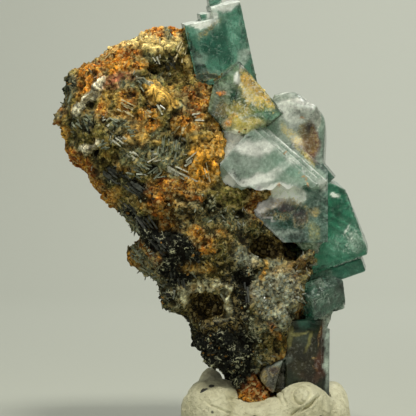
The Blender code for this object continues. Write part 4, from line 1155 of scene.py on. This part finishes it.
# A band along the edges in the rim colour: partly the crystal's own pale zoning, partly painted edge light.
rim_zoning_and_painted_light = (1 - smooth(edge_distance + 0.15 * ruffle, 0.05, 0.42)) * rim_zoning_and_light_strength
crumb_tint = blended(np.array([STONE_COLOURS["olive"]]), STONE_COLOURS["rust"], smooth(lumpy, -0.2, 0.3))
beside_rock = search_tree(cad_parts["matrix_rock"])
beside = np.array([beside_rock.find_nearest(Vector(place), 3.0)[3] or 3.0 for place in places])
crusted = 0.5 * (1 - smooth(beside, 0.1, 0.5)) * front
for x, z, reach in CRUST_SPOTS:
    off = np.hypot(places[:, 0] - x, places[:, 2] - z)
    crusted = np.maximum(crusted, 1 - smooth(off, 0.5 * reach, reach))
keep_values(
    fluorite.data,
    crystal_colour=blended(blended(colour, rim_zoning_and_light_colour, rim_zoning_and_painted_light), FLUORITE_COLOURS["frost"], 0.9 * upward_frost_and_highlight),
    clouded=np.maximum(np.maximum(clouded, 0.8 * upward_frost_and_highlight), 0.6 * rim_zoning_and_painted_light),
    frosted=np.maximum(frosted, 0.7 * upward_frost_and_highlight),
    stain_colour=stain_colour,
    stained=stained,
    growth_marks=growth_marks,
    stone_colour=blended(crumb_tint, stain_colour, smooth(stained, 0.2, 0.7)),
    calm=np.array([CALM_CRYSTALS.get(name, 0.0) for name in CRYSTALS])[owner],
    crusted=np.maximum(crusted, 0.12 * stained * smooth(places[:, 2], 18, 21)),
)
grown = fluorite.data.attributes.new("grown_along", "FLOAT_VECTOR", "POINT")
grown.data.foreach_set("vector", (own_places * MM).astype(np.float32).ravel())

spar, shader, spot = material("teal_fluorite")
tree = spot.tree
along = attribute(tree, "grown_along", "Vector")
frosty = attribute(tree, "frosted")
stain = attribute(tree, "stained")
stain_tint = attribute(tree, "stain_colour", "Color")
marks = step(tree, "ShaderNodeSeparateColor", {0: attribute(tree, "growth_marks", "Color")})
mottle = texture(spot, 2.2, 5.0, 0.65, 0.4)
speck = texture(spot, 0.45, 4.0, 0.7)
# Its own colour, lighter and darker in clouds and in the thin bands of growth.
slope = {0: spot, 1: (0.50, 0.15, 0.85)}
slope = step(tree, "ShaderNodeVectorMath", slope, "Value", operation="DOT_PRODUCT")
layers = step(tree, "ShaderNodeCombineXYZ", {"X": slope, "Y": mottle * 0.0006})
bands = between(texture(layers, 1.0, 2.0), 0.42, 0.58, -0.55, 0.55) * marks.beside(2)
lightness = between(mottle, 0.34, 0.66, 0.55, 1.4) * between(speck, 0.3, 0.7, 0.7, 1.3) * (bands + 1.0)
lightness = maths("POWER", lightness, 1.0 - attribute(tree, "calm"))
lit = scaled(attribute(tree, "crystal_colour", "Color"), lightness)
lit = mixed(between(speck, 0.54, 0.66) * (frosty * 0.5), lit, (0.82, 0.84, 0.78))
# The iron stain over it: flakes with pale flecks, and threads.
blotch = texture(spot, 0.42, 5.0, 0.75, 0.8) + stain * 0.26
stain_share = between(blotch, 0.60, 0.78) * between(stain, 0.02, 0.2)
pale_stain = between(step(tree, "ShaderNodeRGBToBW", {0: stain_tint}), 0.12, 0.4)
flecks = between(texture(spot, 0.3, 3.0), 0.58, 0.66) * pale_stain
dyed = scaled(mixed(flecks, stain_tint, (0.84, 0.82, 0.66)), between(mottle, 0.35, 0.65, 0.5, 1.5))
thread = abs(texture(spot, 0.8, distortion=1.6) - 0.5)
thread = between(thread, 0.006, 0.03, 1.0, 0.0) * between(stain, 0.1, 0.6)
lit = mixed(stain_share * 0.8, lit, dyed)
lit = mixed(thread * 0.8, lit, mixed(pale_stain * 0.5, stain_tint, (0.86, 0.82, 0.62)))
stain_share = maths("MAXIMUM", stain_share, thread)
# White veins, and fibres that run along the crystal.
vein = between(abs(texture(spot, 2.0, distortion=2.2) - 0.5), 0.012, 0.05, 1.0, 0.0)
vein = vein * between(speck, 0.44, 0.56) * marks
fibre = texture(vectors("MULTIPLY", along, (0.06, 0.06, 1.0)), 0.3, 2.0, 0.5)
vein = maths("MAXIMUM", vein, between(fibre, 0.54, 0.60) * marks.beside(1))
cloudy = attribute(tree, "clouded") + (mottle - 0.5) * 0.9 + (speck - 0.5) * 0.6
cloudy = maths("MAXIMUM", cloudy, maths("MAXIMUM", vein, stain_share))
feed(shader.inputs["Transmission Weight"], between(cloudy, 0.0, 1.0, 1.0, 0.06))
rough = between(frosty * 0.45 + (speck - 0.4) * 0.35, 0.0, 0.6, 0.06, 0.6)
steps = step(tree, "ShaderNodeTexNoise", {"Vector": along, "Scale": 900.0, "Detail": 3.0, "Roughness": 0.5})
relief = maths("SNAP", steps, 0.12) + speck * (frosty * 0.8) + mottle * 0.5
finish(shader, mixed(vein * 0.85, lit, (0.80, 0.83, 0.76)), rough, relief, 0.35, 0.18, IOR=FLUORITE_IOR)
inside = step(tree, "ShaderNodeVolumeAbsorption", {"Color": (0.45, 0.82, 0.72), "Density": 110.0})
feed(tree.nodes["Material Output"].inputs["Volume"], inside)
dress(fluorite, spar)
fluorite.data.set_sharp_from_angle(angle=math.radians(32))
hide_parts("fluorite_crystals")
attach(fluorite, "root")
scattered(
    "fluorite_crumbs", crumb_stone, angular_grain, ground=fluorite, slot="fluorite", Where="crusted",
    Density=3.0e6, Smallest=0.2, Largest=0.55, Long=1.0, Wide=1.0, Seed=12,
)

# The putty
# A lump of cream-white mounting putty, pinched off by hand, pressed flat on the table and squeezed up
# round the foot of the stone. It keeps soft dents, creases and a few dark crumbs.

PUTTY_GRAIN = 0.18

# Dents, lips and creases that fingers left on its show side: millimetres, then x, z, half sizes and turn.
PUTTY_MARKS = [
    (0.25, 5.0, 7.0, 2.0, 1.6, 10), (-0.60, 6.3, 5.6, 1.7, 0.15, 36), (0.22, 6.0, 6.1, 1.7, 0.2, 36),
    (-0.55, 4.2, 4.6, 1.1, 0.14, 40), (-0.30, 2.6, 6.4, 0.9, 0.14, -70), (-0.25, -4.6, 6.4, 1.1, 0.12, 8),
    (-0.35, 1.2, 7.0, 1.6, 0.2, -62), (-0.30, -2.0, 6.9, 1.9, 0.18, 14), (-0.28, -7.4, 5.2, 2.2, 0.16, -24),
    (-0.25, -11.2, 7.2, 1.4, 0.2, 38), (0.22, -5.6, 7.4, 1.6, 0.7, 8), (-0.25, 8.6, 5.4, 0.2, 1.6, 8),
    (-0.3, -1.9, 3.9, 0.3, 0.3, 0),
]
# A coil that a fingertip left: x and z of its middle, the radius of its groove and how deep that is.
PUTTY_COIL = (5.0, 6.9, 1.35, 0.42)
# Dark crumbs in its surface: x, z, half sizes and turn.
PUTTY_SPECKS = [
    (-9.5, 7.7, 0.5, 0.25, 30), (-8.3, 8.2, 0.45, 0.3, -20), (-1.95, 3.9, 0.35, 0.25, 0),
    (8.2, 3.6, 0.2, 0.15, 0),
]
putty = merged_copy("putty", "putty_base")
modified(putty, "REMESH", mode="VOXEL", voxel_size=PUTTY_GRAIN * MM)
modified(putty, "SMOOTH", factor=0.5, iterations=16)
settled(putty)
places, facings = corners(putty.data)
dents = 0.30 * noise_field(places, 4.2, 11) + 0.10 * noise_field(places, 1.6, 12)
dents += 0.05 * noise_field(places, 0.7, 14)
shifted = wavering(places, 1.6, 0.35)
show = 1 - smooth(places[:, 1], -3.0, 3.0)
for height, *patch in PUTTY_MARKS:
    dents += height * patch_cover(shifted, patch, 0.6) * show
x, z, reach, depth = PUTTY_COIL
around = np.hypot(shifted[:, 0] - x, (shifted[:, 2] - z) / 0.8)
dents -= depth * show * (np.exp(-(((around - reach) / 0.2) ** 2)) + 0.7 * np.exp(-((around / 0.3) ** 2)))
dents *= smooth(places[:, 2], 0.2, 1.6)
dirt = np.max([patch_cover(shifted, patch, 0.4) * show for patch in PUTTY_SPECKS], axis=0)
keep_values(putty.data, dirt=dirt)
places = places + facings * dents[:, None]
places[:, 2] = np.maximum(places[:, 2], 0.0)
put(putty.data, places)

clay, shader, spot = material("cream_putty")
patchy = texture(spot, 3.0)
fine = texture(spot, 0.5)
base = mixed(between(patchy, 0.35, 0.65), (0.58, 0.545, 0.345), (0.76, 0.73, 0.505))
base = mixed(between(fine, 0.6, 0.70, 0.0, 0.6), base, (0.32, 0.27, 0.15))
specks = step(spot.tree, "ShaderNodeTexVoronoi", {"Vector": spot, "Scale": 260.0}, "Distance")
base = mixed(between(specks, 0.045, 0.075, 0.85, 0.0), base, (0.05, 0.05, 0.035))
base = mixed(between(attribute(spot.tree, "dirt") + fine, 0.85, 0.95), base, (0.03, 0.028, 0.022))
pits = step(spot.tree, "ShaderNodeTexVoronoi", {"Vector": spot, "Scale": 700.0}, "Distance")
sunk = between(pits, 0.10, 0.22) * between(patchy, 0.42, 0.5)
folds = between(abs(texture(spot, 2.4, 3.0, 0.5, 1.6) - 0.5), 0.0, 0.03, -0.7, 0.0)
finish(shader, base, between(fine, 0.3, 0.7, 0.75, 0.55), (fine + patchy) + (sunk + folds), 0.55, 0.3)
dress(putty, clay)
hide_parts("putty_base")
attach(putty, "root")

for helper in (angular_grain, pointed_grain):
    bpy.data.objects.remove(helper)
